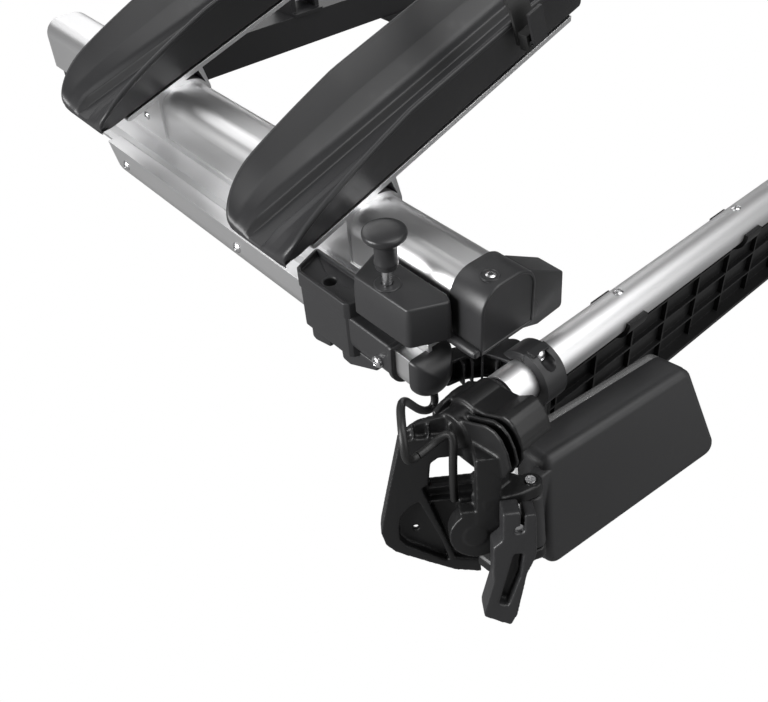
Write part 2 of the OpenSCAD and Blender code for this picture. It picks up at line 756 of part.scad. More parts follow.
// Cables: a smooth tube through chosen points
function cable_ring(p, q, r, n) =
    let (d = q - p, t = d / norm(d), u0 = abs(t[2]) < 0.9 ? [0, 0, 1] : [1, 0, 0],
        a = cross(t, u0), b = a / norm(a), c = cross(b, t))
    [for (k = [0:n - 1]) p + r * (cos(360 * k / n) * b + sin(360 * k / n) * c)];
module cable(route, d) {
    n = 8;
    last = len(route) - 1;
    tangents = [for (i = [0:last])
        i == 0 ? route[1] - route[0] : i == last ? route[last] - route[last - 1]
            : route[i + 1] - route[i - 1]];
    pts = [for (i = [0:last]) each cable_ring(route[i], route[i] + tangents[i], d / 2, n)];
    sides = [for (i = [0:last - 1]) for (k = [0:n - 1])
        let (a = i * n + k, b = i * n + (k + 1) % n) each [[a, b, b + n], [a, b + n, a + n]]];
    ends = [[for (k = [n - 1:-1:0]) k], [for (k = [0:n - 1]) last * n + k]];
    color([0.05, 0.05, 0.05]) polyhedron(pts, concat(sides, ends), convexity = 8);
}
function spline(p) =
    let (m = len(p) - 1)
    [for (i = [0:m - 1]) for (t = [0:0.25:0.75])
        let (a = p[max(i - 1, 0)], b = p[i], c = p[i + 1], e = p[min(i + 2, m)])
        0.5 * (2 * b + (c - a) * t + (2 * a - 5 * b + 4 * c - e) * t * t
            + (3 * b - a - 3 * c + e) * t * t * t), p[m]];
carriage_route = [[-18, 34, -49.8], [-18, 33, -57], [-23, 32, -62], [-34, 31, -55], [-46, 28, -38],
    [-58, 22, -20], [-72, 10, -7], [-84, -5, -5], [-90, -13, -12], [-91, -16, -24],
    [-87, -15, -32], [-80, -15, -33]];
bracket_route = [[-79, -15, -33], [-70, -15, -33], [-62, -15.5, -31], [-56, -18, -27],
    [-53.5, -21.5, -25], [-54, -25, -29], [-58, -28.5, -44], [-60, -31, -66], [-59, -31, -84]];

// Steel tow-ball head with a slotted arm that carries the front beam
lever_y = -60;
lever_z = 26;
jaw_back = -50;
jaw_travel = 4;
arm_z0 = 10;
arm_top = 46;
module coupling_body() {
    r = ball_d / 2 + ball_gap;
    back = beam_y - tail_y;
    color([0.16, 0.16, 0.17]) difference() {
        union() {
            translate([0, 0, -14]) cylinder(h = 60, d = 86);
            translate([-36, back + beam_w, arm_z0]) cube([72, -back - beam_w, arm_top - arm_z0]);
            translate([-60, back - 4, deck_z - beam_h - 4]) cube([120, beam_w + 8, 4]);
            translate([-60, back + beam_w, deck_z - beam_h]) cube([120, 4, beam_h]);
            translate([-36, back + beam_w, arm_z0]) cube([72, 8, deck_z - arm_z0]);
            translate([-36, back - 4, arm_z0]) cube([72, beam_w + 8, deck_z - beam_h - arm_z0]);
        }
        sphere(r);
        translate([0, 0, -15]) cylinder(h = 15, r = r);
        translate([-20, jaw_back - jaw_travel - 1, -20]) cube([40, 36, 60]);
        translate([-20, back + beam_w + 8, 14]) cube([40, -back - beam_w - 8 - 16, 60]);
        translate([-60, lever_y, lever_z]) rotate([0, 90, 0]) cylinder(h = 120, d = 12);
        along_x(-100, 100) translate([back, deck_z - beam_h]) square([beam_w, beam_h + 20]);
    }
}

module coupling_jaw() {
    r = ball_d / 2 + ball_gap;
    color("silver") difference() {
        translate([-19.7, jaw_back, -14]) cube([39.4, 30, 26]);
        sphere(r);
        translate([0, 0, -15]) cylinder(h = 15, r = r);
    }
}

module coupling_lever() {
    color([0.7, 0.1, 0.1]) {
        along_x(-19.7, 19.7) translate([lever_y, lever_z]) circle(11);
        along_x(-6, 6) translate([lever_y, lever_z])
            polygon([[-8, 6], [8, 4], [-30, 236], [-44, 232]]);
        along_x(-10, 10) translate([lever_y, lever_z])
            polygon([[-12, 130], [-26, 236], [-33, 242], [-46, 238], [-48, 230], [-32, 126]]);
        along_x(-36, 36) translate([lever_y, lever_z]) circle(5.95);
    }
}

// Support hoop: one bent tube with a hinge eye in each end
hoop_wall = 2;
hoop_pin = 10;
eye_h = 14;
module hoop_run(r) {
    x = hoop_w / 2;
    for (s = [-1, 1]) {
        translate([s * x, 0, eye_h]) cylinder(h = hoop_h - hoop_bend - eye_h, r = r);
        translate([s * (x - hoop_bend), 0, hoop_h - hoop_bend]) rotate([90, 0, 0])
            rotate([0, 0, s > 0 ? 0 : 90]) rotate_extrude(angle = 90)
                translate([hoop_bend, 0]) circle(r);
    }
    translate([0, 0, hoop_h]) rotate([0, 90, 0])
        cylinder(h = hoop_w - 2 * hoop_bend, r = r, center = true);
}
module hoop() {
    color("silver") translate([0, hoop_y, hoop_z]) difference() {
        hoop_run(hoop_r);
        hoop_run(hoop_r - hoop_wall);
    }
    color([0.1, 0.1, 0.1]) translate([0, hoop_y, hoop_z]) for (s = [-1, 1])
        translate([s * hoop_w / 2, 0, 0]) difference() {
            union() {
                translate([-hoop_r, -12, -12]) cube([2 * hoop_r, 24, eye_h + 12]);
                cylinder(h = eye_h + 20, r = hoop_r - hoop_wall);
            }
            rotate([0, 90, 0]) cylinder(h = 40, d = hoop_pin + 0.1, center = true);
        }
}

module hoop_brackets() {
    x = hoop_w / 2;
    color([0.2, 0.2, 0.21]) translate([0, hoop_y, hoop_z]) for (s = [-1, 1])
        translate([s * x, 0, 0]) {
            for (k = [-1, 1]) translate([k * (hoop_r + 3.4) - 3, -22, -26]) cube([6, 44, 42]);
            translate([-hoop_r - 6.4, -30, -26]) cube([2 * hoop_r + 12.8, 60, 4]);
            rotate([0, 90, 0]) cylinder(h = 2 * hoop_r + 16, d = hoop_pin, center = true);
        }
}

// Bike arm: a collar on the hoop, a tube and an open jaw for a bicycle frame
arm_z = [hoop_h - 130, hoop_h - 240];
jaw_r = 24;
jaw_wall = 9;
knob_back = 9;
module bike_arm(side, z, reach) {
    translate([side * hoop_w / 2, hoop_y, hoop_z + z]) {
        color([0.1, 0.1, 0.1]) difference() {
            union() {
                translate([0, 0, -18]) cylinder(h = 36, r = hoop_r + 7);
                translate([-12, -46, -12]) cube([24, 30, 24]);
                translate([0, -reach - jaw_r - 16, 0]) rotate([0, 90, 0])
                    cylinder(h = 30, r = jaw_r + jaw_wall, center = true);
                translate([-12, -reach - 10, -12]) cube([24, 28, 24]);
            }
            translate([0, 0, -30]) cylinder(h = 60, r = hoop_r + slide_gap);
            translate([0, -reach - jaw_r - 16, 0]) rotate([0, 90, 0])
                cylinder(h = 40, r = jaw_r, center = true);
            translate([-30, -reach - 90, -14]) cube([60, 40, 28]);
            translate([0, knob_back - reach, 5]) cylinder(h = 18, r = 5);
        }
        color("silver") difference() {
            translate([0, -30, 0]) rotate([90, 0, 0]) cylinder(h = reach - 30, r = 9);
            translate([-30, -46, -30]) cube([60, 30, 60]);
            translate([-30, -reach - 10, -30]) cube([60, 28, 60]);
        }
    }
}

module arm_knob(side, z, reach) {
    translate([side * hoop_w / 2, hoop_y - reach + knob_back, hoop_z + z + 12.3]) {
        color([0.07, 0.07, 0.07]) difference() {
            translate([0, 0, 6]) cylinder(h = 18, r = 17);
            for (a = [0:60:300]) rotate([0, 0, a]) translate([21, 0, 5])
                cylinder(h = 20, r = 7);
        }
        color("silver") translate([0, 0, -6.5]) cylinder(h = 12.5, r = 4.7);
    }
}

// Screws of the frame, the carriage and the light bar
module frame_screws() {
    color("silver") {
        translate([cap_screw_x, cap_screw_y, rail_h + cap_wall]) button_screw(6, 10);
        for (row = [rear_tray_y, rear_tray_y + tray_pitch])
            translate([rail_x - arch_wall, row - tray_base_w / 2 + 33, 20]) rotate([0, -90, 0])
                button_screw(5, arch_wall);
    }
}

module carriage_screws() {
    color("silver") {
        for (y = bolt_ys)
            translate([guide_x - guide_r, guide_y + y, guide_zc + 4]) rotate([0, -90, 0])
                button_screw(6, 1.5);
        for (z = clamp_zs) translate([41, tube_y - 7, tube_z + z])
            rotate([90, 0, 0]) button_screw(6, 8);
    }
}

module light_bar_screws() {
    cam_pin();
    color("silver") for (x = saddles) translate([x, tube_y, tube_z]) rotate([-10, 0, 0])
        translate([0, 0, tube_r]) button_screw(5, 0);
}

left() rail();  // rail_left
right() rail();  // rail_right
left() end_cap();  // end_cap_left
right() end_cap();  // end_cap_right
front_beam();
beam_end_caps();
left() tray(rear_tray_y + tray_pitch);  // tray_front_left
right() tray(rear_tray_y + tray_pitch);  // tray_front_right
left() tray(rear_tray_y);  // tray_rear_left
right() tray(rear_tray_y);  // tray_rear_right
left() tray_brackets();  // tray_brackets_left
right() tray_brackets();  // tray_brackets_right
wheel_straps();
left()  // buckle_lever_front_left
    buckle_lever(rear_tray_y + tray_pitch);
right()  // buckle_lever_front_right
    buckle_lever(rear_tray_y + tray_pitch);
left() buckle_lever(rear_tray_y);  // buckle_lever_rear_left
right() buckle_lever(rear_tray_y);  // buckle_lever_rear_right
left() plunger_housing();  // plunger_housing_left
right() plunger_housing();  // plunger_housing_right
union() { left() plunger_spring(); right() plunger_spring(); }  // plunger_springs
left() plunger_knob();  // plunger_knob_left
right() plunger_knob();  // plunger_knob_right
left() plunger_pin();  // plunger_pin_left
right() plunger_pin();  // plunger_pin_right
union() { left() frame_screws(); right() frame_screws(); }
left() guide_profile();  // guide_profile_left
right() guide_profile();  // guide_profile_right
union() { left() guide_plug(); right() guide_plug(); }  // guide_plugs
left() catch_block();  // catch_block_left
right() catch_block();  // catch_block_right
left() carriage_arm();  // carriage_arm_left
right() carriage_arm();  // carriage_arm_right
union() { left() tube_clamp(); right() tube_clamp(); }  // tube_clamps
union() {
    left() carriage_screws();
    right() carriage_screws();
}
crossbar();
plate_board();
left() lamp_bracket();  // lamp_bracket_left
right() lamp_bracket();  // lamp_bracket_right
union() {
    left() light_bar_screws();
    right() light_bar_screws();
}
union() { left() lamp_hinge_pin(); right() lamp_hinge_pin(); }  // lamp_hinge_pins
left() lamp_housing();  // lamp_housing_left
right() lamp_housing();  // lamp_housing_right
left() lamp_lens();  // lamp_lens_left
right() lamp_lens();  // lamp_lens_right
left() lamp_insert();  // lamp_insert_left
right() lamp_insert();  // lamp_insert_right
left() cam_lever();  // cam_lever_left
right() cam_lever();  // cam_lever_right
union() {  // carriage_cables
    left() cable(spline(carriage_route), cable_d);
    right() cable(spline(carriage_route), cable_d);
}
union() {  // bracket_cables
    left() cable(spline(bracket_route), cable_d);
    right() cable(spline(bracket_route), cable_d);
}
coupling_body();
coupling_jaw();
coupling_lever();
hoop();
hoop_brackets();
bike_arm(1, arm_z[0], arm_long_reach);  // arm_long
bike_arm(-1, arm_z[1], arm_short_reach);  // arm_short
arm_knob(1, arm_z[0], arm_long_reach);  // arm_knob_long
arm_knob(-1, arm_z[1], arm_short_reach);  // arm_knob_short

module tray_brackets() {
    for (row = [rear_tray_y, rear_tray_y + tray_pitch]) tray_bracket(row);
}
module wheel_straps() {
    for (row = [rear_tray_y, rear_tray_y + tray_pitch]) {
        left() wheel_strap(row);
        right() wheel_strap(row);
    }
}
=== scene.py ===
import math

import bpy
import numpy as np
from bpy.props import FloatProperty, FloatVectorProperty, PointerProperty
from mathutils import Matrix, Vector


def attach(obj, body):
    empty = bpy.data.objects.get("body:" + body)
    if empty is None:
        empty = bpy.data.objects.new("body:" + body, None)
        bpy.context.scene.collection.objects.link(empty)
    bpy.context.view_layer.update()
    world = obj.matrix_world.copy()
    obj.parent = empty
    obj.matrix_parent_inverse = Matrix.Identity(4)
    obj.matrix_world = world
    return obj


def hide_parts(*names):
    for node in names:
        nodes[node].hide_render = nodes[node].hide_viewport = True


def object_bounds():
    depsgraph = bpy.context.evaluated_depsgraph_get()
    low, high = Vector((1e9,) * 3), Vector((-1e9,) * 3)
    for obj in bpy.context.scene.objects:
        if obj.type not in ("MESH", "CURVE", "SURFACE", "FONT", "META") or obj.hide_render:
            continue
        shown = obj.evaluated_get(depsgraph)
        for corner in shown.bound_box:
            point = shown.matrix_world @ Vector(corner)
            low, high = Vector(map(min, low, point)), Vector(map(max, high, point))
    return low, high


bl_info = {
    "name": "Platform bike carrier",
    "version": (1, 0, 0),
    "blender": (4, 2, 0),
    "location": "View3D > Sidebar > Carrier",
    "description": "Dresses the packed frame of a platform bike carrier with its finished surfaces",
    "category": "Object",
}

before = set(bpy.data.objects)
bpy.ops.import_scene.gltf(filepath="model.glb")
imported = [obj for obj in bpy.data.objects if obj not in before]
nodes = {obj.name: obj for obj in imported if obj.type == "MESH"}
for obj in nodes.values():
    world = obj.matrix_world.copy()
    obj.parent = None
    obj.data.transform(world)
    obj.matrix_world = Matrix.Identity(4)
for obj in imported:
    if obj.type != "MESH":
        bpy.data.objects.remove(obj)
cad_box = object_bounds()

# Places in millimetres, in the frame of a rear corner: x inwards from the rail's outer wall,
# y forwards from the rear face of the end cap, z up from the underside of the rail. Its origin
# lies half the span out, TAIL behind and DECK above the part's own, which is the ball's centre.
HALF_SPAN = 500.0
TAIL = 800.0
DECK = 72.0
# Wheel trays: middle of the rear row, distance between the rows, tilt in degrees, and the place
# (x, z) of a tray's own frame
REAR_ROW = 192.0
ROW_PITCH = 293.0
TRAY_TILT = 18.6
TRAY_START = (-36.0, 41.5)
SIDES = ("left", "right")


class CarrierFinish(bpy.types.PropertyGroup):
    """Colours of the carrier's own finishes."""

    aluminium: FloatVectorProperty(
        name="Aluminium", description="Colour of the anodised rails, guide profiles and crossbar",
        subtype="COLOR", size=3, min=0, max=1, default=(0.74, 0.74, 0.745))
    moulding: FloatVectorProperty(
        name="Mouldings", description="Colour of the grained black mouldings",
        subtype="COLOR", size=3, min=0, max=1, default=(0.02, 0.02, 0.021))
    tray: FloatVectorProperty(
        name="Wheel trays", description="Colour of the satin wheel trays",
        subtype="COLOR", size=3, min=0, max=1, default=(0.018, 0.018, 0.019))
    lever: FloatVectorProperty(
        name="Coupling lever", description="Colour of the lever that clamps the tow ball",
        subtype="COLOR", size=3, min=0, max=1, default=(0.36, 0.02, 0.02))


class CarrierSizes(bpy.types.PropertyGroup):
    """Sizes of the visual pieces that a user may change."""

    edge: FloatProperty(
        name="Edge radius", description="Radius of the rounded edges of the mouldings",
        subtype="DISTANCE", min=0.0003, max=0.003, default=0.0014)
    tray_wall: FloatProperty(
        name="Tray rim", description="Thickness of the rim of a wheel tray",
        subtype="DISTANCE", min=0.002, max=0.005, default=0.0034)


class Link:
    """A shader socket that takes part in Python expressions, such as 1 - mask * 0.5."""

    def __init__(self, paint, socket):
        self.paint = paint
        self.socket = socket

    def math(self, operation, a, b):
        return self.paint.node("ShaderNodeMath", {"operation": operation}, {0: a, 1: b})

    def __add__(self, other):
        return self.math("ADD", self, other)

    def __radd__(self, other):
        return self.math("ADD", other, self)

    def __sub__(self, other):
        return self.math("SUBTRACT", self, other)

    def __rsub__(self, other):
        return self.math("SUBTRACT", other, self)

    def __mul__(self, other):
        return self.math("MULTIPLY", self, other)

    def above(self, edge, soft=0.05):
        """0 below edge, 1 above it, with a soft step between."""
        return self.paint.node(
            "ShaderNodeMapRange", {"clamp": True, "interpolation_type": "SMOOTHSTEP"},
            {0: self, 1: edge - soft, 2: edge + soft, 3: 0.0, 4: 1.0})


class Paint:
    """A material that is written as expressions on its nodes."""

    def __init__(self, name):
        self.material = bpy.data.materials.new(name)
        self.material.use_nodes = True
        self.tree = self.material.node_tree
        self.tree.nodes.clear()
        self.output = self.tree.nodes.new("ShaderNodeOutputMaterial")
        self.place = self.node("ShaderNodeTexCoord", out="Object")

    def node(self, kind, settings=None, values=None, out=0):
        """One node: its settings first, then the values or links of its sockets."""
        made = self.tree.nodes.new(kind)
        for key, value in (settings or {}).items():
            setattr(made, key, value)
        for key, value in (values or {}).items():
            if isinstance(value, Link):
                self.tree.links.new(value.socket, made.inputs[key])
            else:
                made.inputs[key].default_value = value
        return Link(self, made.outputs[out])

    def noise(self, scale, detail=2.0, stretch=(1, 1, 1), rough=0.5):
        """Noise between 0 and 1 on the object's own place, scale in cells for each metre."""
        spread = self.node("ShaderNodeMapping", {}, {0: self.place, 3: stretch})
        return self.node("ShaderNodeTexNoise", {}, {
            "Vector": spread, "Scale": scale, "Detail": detail, "Roughness": rough})

    def blend(self, share, dark, light):
        """Colour between dark and light by share."""
        made = self.tree.nodes.new("ShaderNodeMix")
        made.data_type = "RGBA"
        self.tree.links.new(share.socket, made.inputs[0])
        for key, value in ((6, dark), (7, light)):
            if isinstance(value, Link):
                self.tree.links.new(value.socket, made.inputs[key])
            else:
                made.inputs[key].default_value = tuple(value)[:3] + (1,)
        return Link(self, made.outputs[2])

    def bump(self, height, strength, distance, rounding=0.0):
        """Bump from height, over edges that a Bevel node rounds off."""
        values = {"Strength": strength, "Distance": distance, "Height": height}
        if rounding:
            values["Normal"] = self.node("ShaderNodeBevel", {"samples": 4}, {"Radius": rounding})
        return self.node("ShaderNodeBump", {}, values)

    def surface(self, **values):
        """Principled surface: constants on its own sockets, links for what changes."""
        named = {key.replace("_", " ").title().replace("Ior", "IOR"): value
                 for key, value in values.items()}
        shader = self.node("ShaderNodeBsdfPrincipled", {}, named)
        self.tree.links.new(shader.socket, self.output.inputs["Surface"])
        return self.material


def lighter(colour, factor):
    return tuple(min(1.0, c * factor) for c in tuple(colour)[:3])


def anodised(name, colour, along, edge, rough):
    """Satin anodised extrusion: faint drawing lines along one axis and a cloudy sheen."""
    p = Paint(name)
    stretch = [90.0, 90.0, 90.0]
    stretch[along] = 0.6
    lines = p.noise(12.0, 3.0, stretch)
    cloud = p.noise(9.0, 2.0)
    grit = p.noise(2600.0, 1.0)
    tone = lines * 0.4 + cloud * 0.6
    return p.surface(
        base_color=p.blend(tone, lighter(colour, 0.93), lighter(colour, 1.05)),
        metallic=1.0,
        roughness=rough + lines * 0.03 + grit * 0.05,
        normal=p.bump(lines * 0.3 + grit * 0.7, 0.04, 0.0001, edge))


def moulded(name, colour, grain, depth, rough, edge):
    """Injection-moulded plastic: spark-eroded grain, cloudy gloss and slightly rubbed spots."""
    p = Paint(name)
    fine = p.noise(grain, 2.0, rough=0.6)
    cloud = p.noise(14.0, 3.0)
    rub = p.noise(55.0, 4.0).above(0.64, 0.08)
    return p.surface(
        base_color=p.blend(cloud * 0.6 + fine * 0.4, lighter(colour, 0.82), lighter(colour, 1.2)),
        roughness=rough + cloud * 0.08 + fine * 0.08 - rub * 0.05,
        specular_ior_level=0.42,
        normal=p.bump(fine, depth, 0.0003, edge))


def plated(name, colour, rough):
    """Zinc-plated steel: pale metal with a fine cloudy bloom."""
    p = Paint(name)
    bloom = p.noise(300.0, 3.0)
    fine = p.noise(2500.0, 1.0)
    return p.surface(
        base_color=p.blend(bloom, lighter(colour, 0.85), lighter(colour, 1.1)),
        metallic=1.0,
        roughness=rough + bloom * 0.12,
        normal=p.bump(fine, 0.06, 0.0001, 0.0003))


def coated(name, colour):
    """Powder coat: orange peel with a soft gloss."""
    p = Paint(name)
    peel = p.noise(700.0, 2.0)
    cloud = p.noise(10.0, 2.0)
    return p.surface(
        base_color=p.blend(cloud, lighter(colour, 0.85), lighter(colour, 1.15)),
        roughness=0.36 + peel * 0.1,
        normal=p.bump(peel, 0.25, 0.0003, 0.001))


def striped(name, colour):
    """Metallised reflector behind a lens: ribs in its bump, and painted glints in its colour,
    bright stripes on the crests and dark gaps between them that stand in for reflections.
    """
    p = Paint(name)
    band = p.node("ShaderNodeTexWave", {"wave_type": "BANDS", "bands_direction": "DIAGONAL"},
                  {"Vector": p.place, "Scale": 55.0, "Distortion": 2.5, "Detail": 1.0}, out=1)
    # Painted reflection: the crests are painted bright and smooth and the gaps nearly black, in
    # place of the prisms' glints
    ribs = band.above(0.72, 0.2)
    return p.surface(
        base_color=p.blend(ribs, (0.02, 0.02, 0.02), colour), metallic=1.0,
        roughness=0.3 - ribs * 0.18, normal=p.bump(band, 0.2, 0.0005))


def clear(name):
    """Clear lens: a thin glassy shell with moulded optics inside it."""
    p = Paint(name)
    ripple = p.noise(160.0, 1.0)
    return p.surface(
        base_color=(0.5, 0.5, 0.5, 1), roughness=0.06 + ripple * 0.04, alpha=0.2, ior=1.49,
        coat_weight=0.4, normal=p.bump(ripple, 0.1, 0.0004))


finishes = {}


def make_finishes():
    settings = bpy.context.scene.carrier_finish
    black = settings.moulding
    finishes.update(
        rail=anodised("satin_aluminium_lengthwise", settings.aluminium, 1, 0.0004, 0.31),
        bar=anodised("satin_aluminium_across", settings.aluminium, 0, 0.0003, 0.4),
        tube=anodised("satin_aluminium_upright", settings.aluminium, 2, 0.0003, 0.36),
        plastic=moulded("grained_black_moulding", black, 1500.0, 0.2, 0.32, 0.0005),
        # shade: the black moulding darkened to 0.3 of its colour, painted shade for the lamp
        # brackets and the plate board, which stand in little light
        shade=moulded("black_moulding_painted_shade", lighter(black, 0.3), 1500.0, 0.15, 0.36, 0.0006),
        # The reflector's bright and dark stripes are painted reflection
        reflector=striped("ribbed_reflector_painted_glints", (0.75, 0.75, 0.76)),
        knob=moulded("smooth_black_knob", black, 1500.0, 0.05, 0.26, 0.0),
        tray=moulded("satin_tray_moulding", settings.tray, 900.0, 0.06, 0.34, 0.0006),
        lever=moulded("red_lever_moulding", settings.lever, 1500.0, 0.15, 0.35, 0.001),
        lamp=moulded("satin_lamp_housing", (0.024, 0.024, 0.025), 1100.0, 0.1, 0.42, 0.001),
        strap=moulded("black_strap", (0.016, 0.016, 0.016), 700.0, 0.2, 0.5, 0.0006),
        cable=moulded("black_cable_jacket", (0.01, 0.01, 0.01), 900.0, 0.1, 0.38, 0.0),
        steel=plated("zinc_plated_steel", (0.7, 0.7, 0.71), 0.2),
        coat=coated("black_powder_coat", (0.012, 0.012, 0.013)),
        lens=clear("clear_lens"))


DRESS = {
    "rail": ("rail_left", "rail_right", "guide_profile_left", "guide_profile_right",
             "tray_brackets_left", "tray_brackets_right"),
    "bar": ("crossbar",),
    "tube": ("hoop",),
    "tray": ("tray_front_left", "tray_front_right", "tray_rear_left", "tray_rear_right"),
    "steel": ("plunger_springs", "plunger_pin_left", "plunger_pin_right", "frame_screws",
              "carriage_screws", "light_bar_screws", "lamp_hinge_pins", "coupling_jaw"),
    "coat": ("front_beam", "coupling_body", "hoop_brackets"),
    "strap": ("wheel_straps",),
    "cable": ("carriage_cables", "bracket_cables"),
    "lens": ("lamp_lens_left", "lamp_lens_right"),
    "reflector": ("lamp_insert_left", "lamp_insert_right"),
    # The plate board takes the darkened moulding: painted shade
    "shade": ("plate_board",),
    "lever": ("coupling_lever",),
}


class CARRIER_OT_finish_frame(bpy.types.Operator):
    """Gives every solid of the frame its finish."""

    bl_idname = "carrier.finish_frame"
    bl_label = "Finish the frame"

    def execute(self, context):
        make_finishes()
        chosen = {node: key for key, group in DRESS.items() for node in group}
        for name, part in nodes.items():
            part.data.materials.clear()
            part.data.materials.append(finishes[chosen.get(name, "plastic")])
        return {"FINISHED"}


def in_corner(points, side):
    """Millimetres in the frame of a rear corner to metres in the part's frame."""
    moved = np.asarray(points, float) + (-HALF_SPAN, -TAIL, DECK)
    if side == "right":
        moved = moved * (-1, 1, 1)
    return moved / 1000


def on_side(parts, side):
    """Parts in the frame of a rear corner, placed at the left or right one."""
    return [(in_corner(verts, side), faces) for verts, faces in parts]


def turned(points, axis, degrees):
    """Points turned about axis 0, 1 or 2 by the right-hand rule."""
    c, s = math.cos(math.radians(degrees)), math.sin(math.radians(degrees))
    u, v = (axis + 1) % 3, (axis + 2) % 3
    done = np.array(points, float)
    done[..., u], done[..., v] = (c * points[..., u] - s * points[..., v],
                                  s * points[..., u] + c * points[..., v])
    return done


def rounded(corners, steps=4):
    """Closed outline through corners (u, v, radius), each corner an arc of steps + 1 points."""
    spots = np.array([c[:2] for c in corners], float)
    outline = []
    for k, (spot, corner) in enumerate(zip(spots, corners)):
        back, ahead = spots[k - 1] - spot, spots[(k + 1) % len(spots)] - spot
        room = 0.49 * min(np.hypot(*back), np.hypot(*ahead))
        back, ahead = back / np.hypot(*back), ahead / np.hypot(*ahead)
        half = 0.5 * math.acos(max(-1.0, min(1.0, float(back @ ahead))))
        cut = min(room, max(corner[2], 0.02) / math.tan(half))
        radius = cut * math.tan(half)
        middle = spot + (back + ahead) / np.hypot(*(back + ahead)) * radius / math.sin(half)
        start, stop = spot + back * cut - middle, spot + ahead * cut - middle
        sweep = math.atan2(start[0] * stop[1] - start[1] * stop[0], float(start @ stop))
        for step in range(steps + 1):
            a = sweep * step / steps
            outline.append(middle + (start[0] * math.cos(a) - start[1] * math.sin(a),
                                     start[0] * math.sin(a) + start[1] * math.cos(a)))
    return np.array(outline)


def divided(outline, longest):
    """Closed outline whose long straight runs get points in between."""
    done = []
    for spot, ahead in zip(outline, np.roll(outline, -1, 0)):
        parts = max(1, math.ceil(np.hypot(*(ahead - spot)) / longest))
        done += [spot + (ahead - spot) * k / parts for k in range(parts)]
    return np.array(done)


def inset(outline, amount):
    """Outline moved inwards by amount along the bisector at each of its points."""
    ahead = np.roll(outline, -1, 0) - outline
    ahead /= np.maximum(np.hypot(*ahead.T), 1e-9)[:, None]
    behind = np.roll(ahead, 1, 0)
    u, v = outline.T
    area = np.sum(u * np.roll(v, -1) - v * np.roll(u, -1))
    side = 1.0 if area > 0 else -1.0
    normal = (ahead + behind) @ np.array([[0, 1], [-1, 0]]) * side
    spread = np.maximum(np.sum(normal * normal, 1), 1.0)
    return outline + normal * (2 * amount / spread)[:, None]


def edge_steps(radius, steps=4):
    """Inset and drop along a quarter circle, from the flat face to the side wall."""
    turns = [math.pi / 2 * k / steps for k in range(steps + 1)]
    return [(radius * (1 - math.sin(a)), radius * (1 - math.cos(a))) for a in turns]


def loft(rings):
    """Vertices and faces of a closed skin over rings of equal count, capped at both ends."""
    rings = np.asarray(rings, float)
    count, size = rings.shape[:2]
    faces = []
    for i in range(count - 1):
        low, high = i * size, (i + 1) * size
        for j in range(size):
            after = (j + 1) % size
            faces.append((low + j, low + after, high + after, high + j))
    faces += [tuple(range(size - 1, -1, -1)), tuple((count - 1) * size + j for j in range(size))]
    return rings.reshape(-1, 3), faces


def block(outline, levels, axis=2):
    """Solid from an outline and its levels (inset, height), stacked along an axis."""
    rings = []
    for amount, height in levels:
        flat = inset(outline, amount)
        ring = np.empty((len(flat), 3))
        ring[:, [k for k in (0, 1, 2) if k != axis]] = flat
        ring[:, axis] = height
        rings.append(ring)
    return loft(rings)


def soft_levels(low, high, radius):
    """Levels of a block with round lower and upper edges."""
    levels = [(a, low + b) for a, b in edge_steps(radius)]
    return levels + [(a, high - b) for a, b in reversed(edge_steps(radius))]


def lathe(profile, place, size=40):
    """Solid of revolution round a vertical axis through place, from a (radius, height) profile."""
    turns = np.linspace(0, 2 * np.pi, size, endpoint=False)
    rings = [np.stack([place[0] + r * np.cos(turns), place[1] + r * np.sin(turns),
                       np.full(size, place[2] + z)], 1) for r, z in profile]
    return loft(rings)


def joined(parts):
    """One set of vertices and faces from several."""
    verts, faces, base = [], [], 0
    for points, polygons in parts:
        verts.append(points)
        faces += [tuple(base + k for k in polygon) for polygon in polygons]
        base += len(points)
    return np.concatenate(verts), faces


def make_piece(name, parts, finish, body, sharp=32.0):
    """Mesh object from parts in metres: each part faces outwards, edges above sharp stay crisp."""
    facing = []
    for points, polygons in parts:
        volume = 0.0
        for polygon in polygons:
            a = points[polygon[0]]
            for k in range(1, len(polygon) - 1):
                volume += float(np.dot(a, np.cross(points[polygon[k]], points[polygon[k + 1]])))
        facing.append((points, polygons if volume > 0 else [p[::-1] for p in polygons]))
    points, polygons = joined(facing)
    mesh = bpy.data.meshes.new(name)
    mesh.from_pydata([tuple(p) for p in points], [], polygons)
    mesh.update()
    mesh.shade_smooth()
    mesh.set_sharp_from_angle(angle=math.radians(sharp))
    mesh.materials.append(finishes[finish])
    piece = bpy.data.objects.new(name, mesh)
    bpy.context.scene.collection.objects.link(piece)
    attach(piece, body)
    return piece


MOULD_CELL = 0.0011
FLAT_ANGLE = 2.2


def softened(node, finish, body, passes):
    """Moulded look of a CAD solid: its copy is remeshed in fine cells and relaxed, which rounds
    every edge, and then thinned where it is flat."""
    mesh = nodes[node].data.copy()
    piece = bpy.data.objects.new(node + "_moulded", mesh)
    bpy.context.scene.collection.objects.link(piece)
    cells = piece.modifiers.new("cells", "REMESH")
    cells.mode = "VOXEL"
    cells.voxel_size = MOULD_CELL
    relax = piece.modifiers.new("relax", "CORRECTIVE_SMOOTH")
    relax.iterations = passes
    relax.smooth_type = "LENGTH_WEIGHTED"
    relax.use_only_smooth = True
    thin = piece.modifiers.new("thin", "DECIMATE")
    thin.decimate_type = "DISSOLVE"
    thin.angle_limit = math.radians(FLAT_ANGLE)
    graph = bpy.context.evaluated_depsgraph_get()
    done = bpy.data.meshes.new_from_object(piece.evaluated_get(graph))
    piece.modifiers.clear()
    piece.data = done
    done.name = piece.name
    done.materials.clear()
    done.materials.append(finishes[finish])
    done.shade_smooth()
    done.set_sharp_from_angle(angle=math.radians(50))
    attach(piece, body)
    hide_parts(node)
    return piece


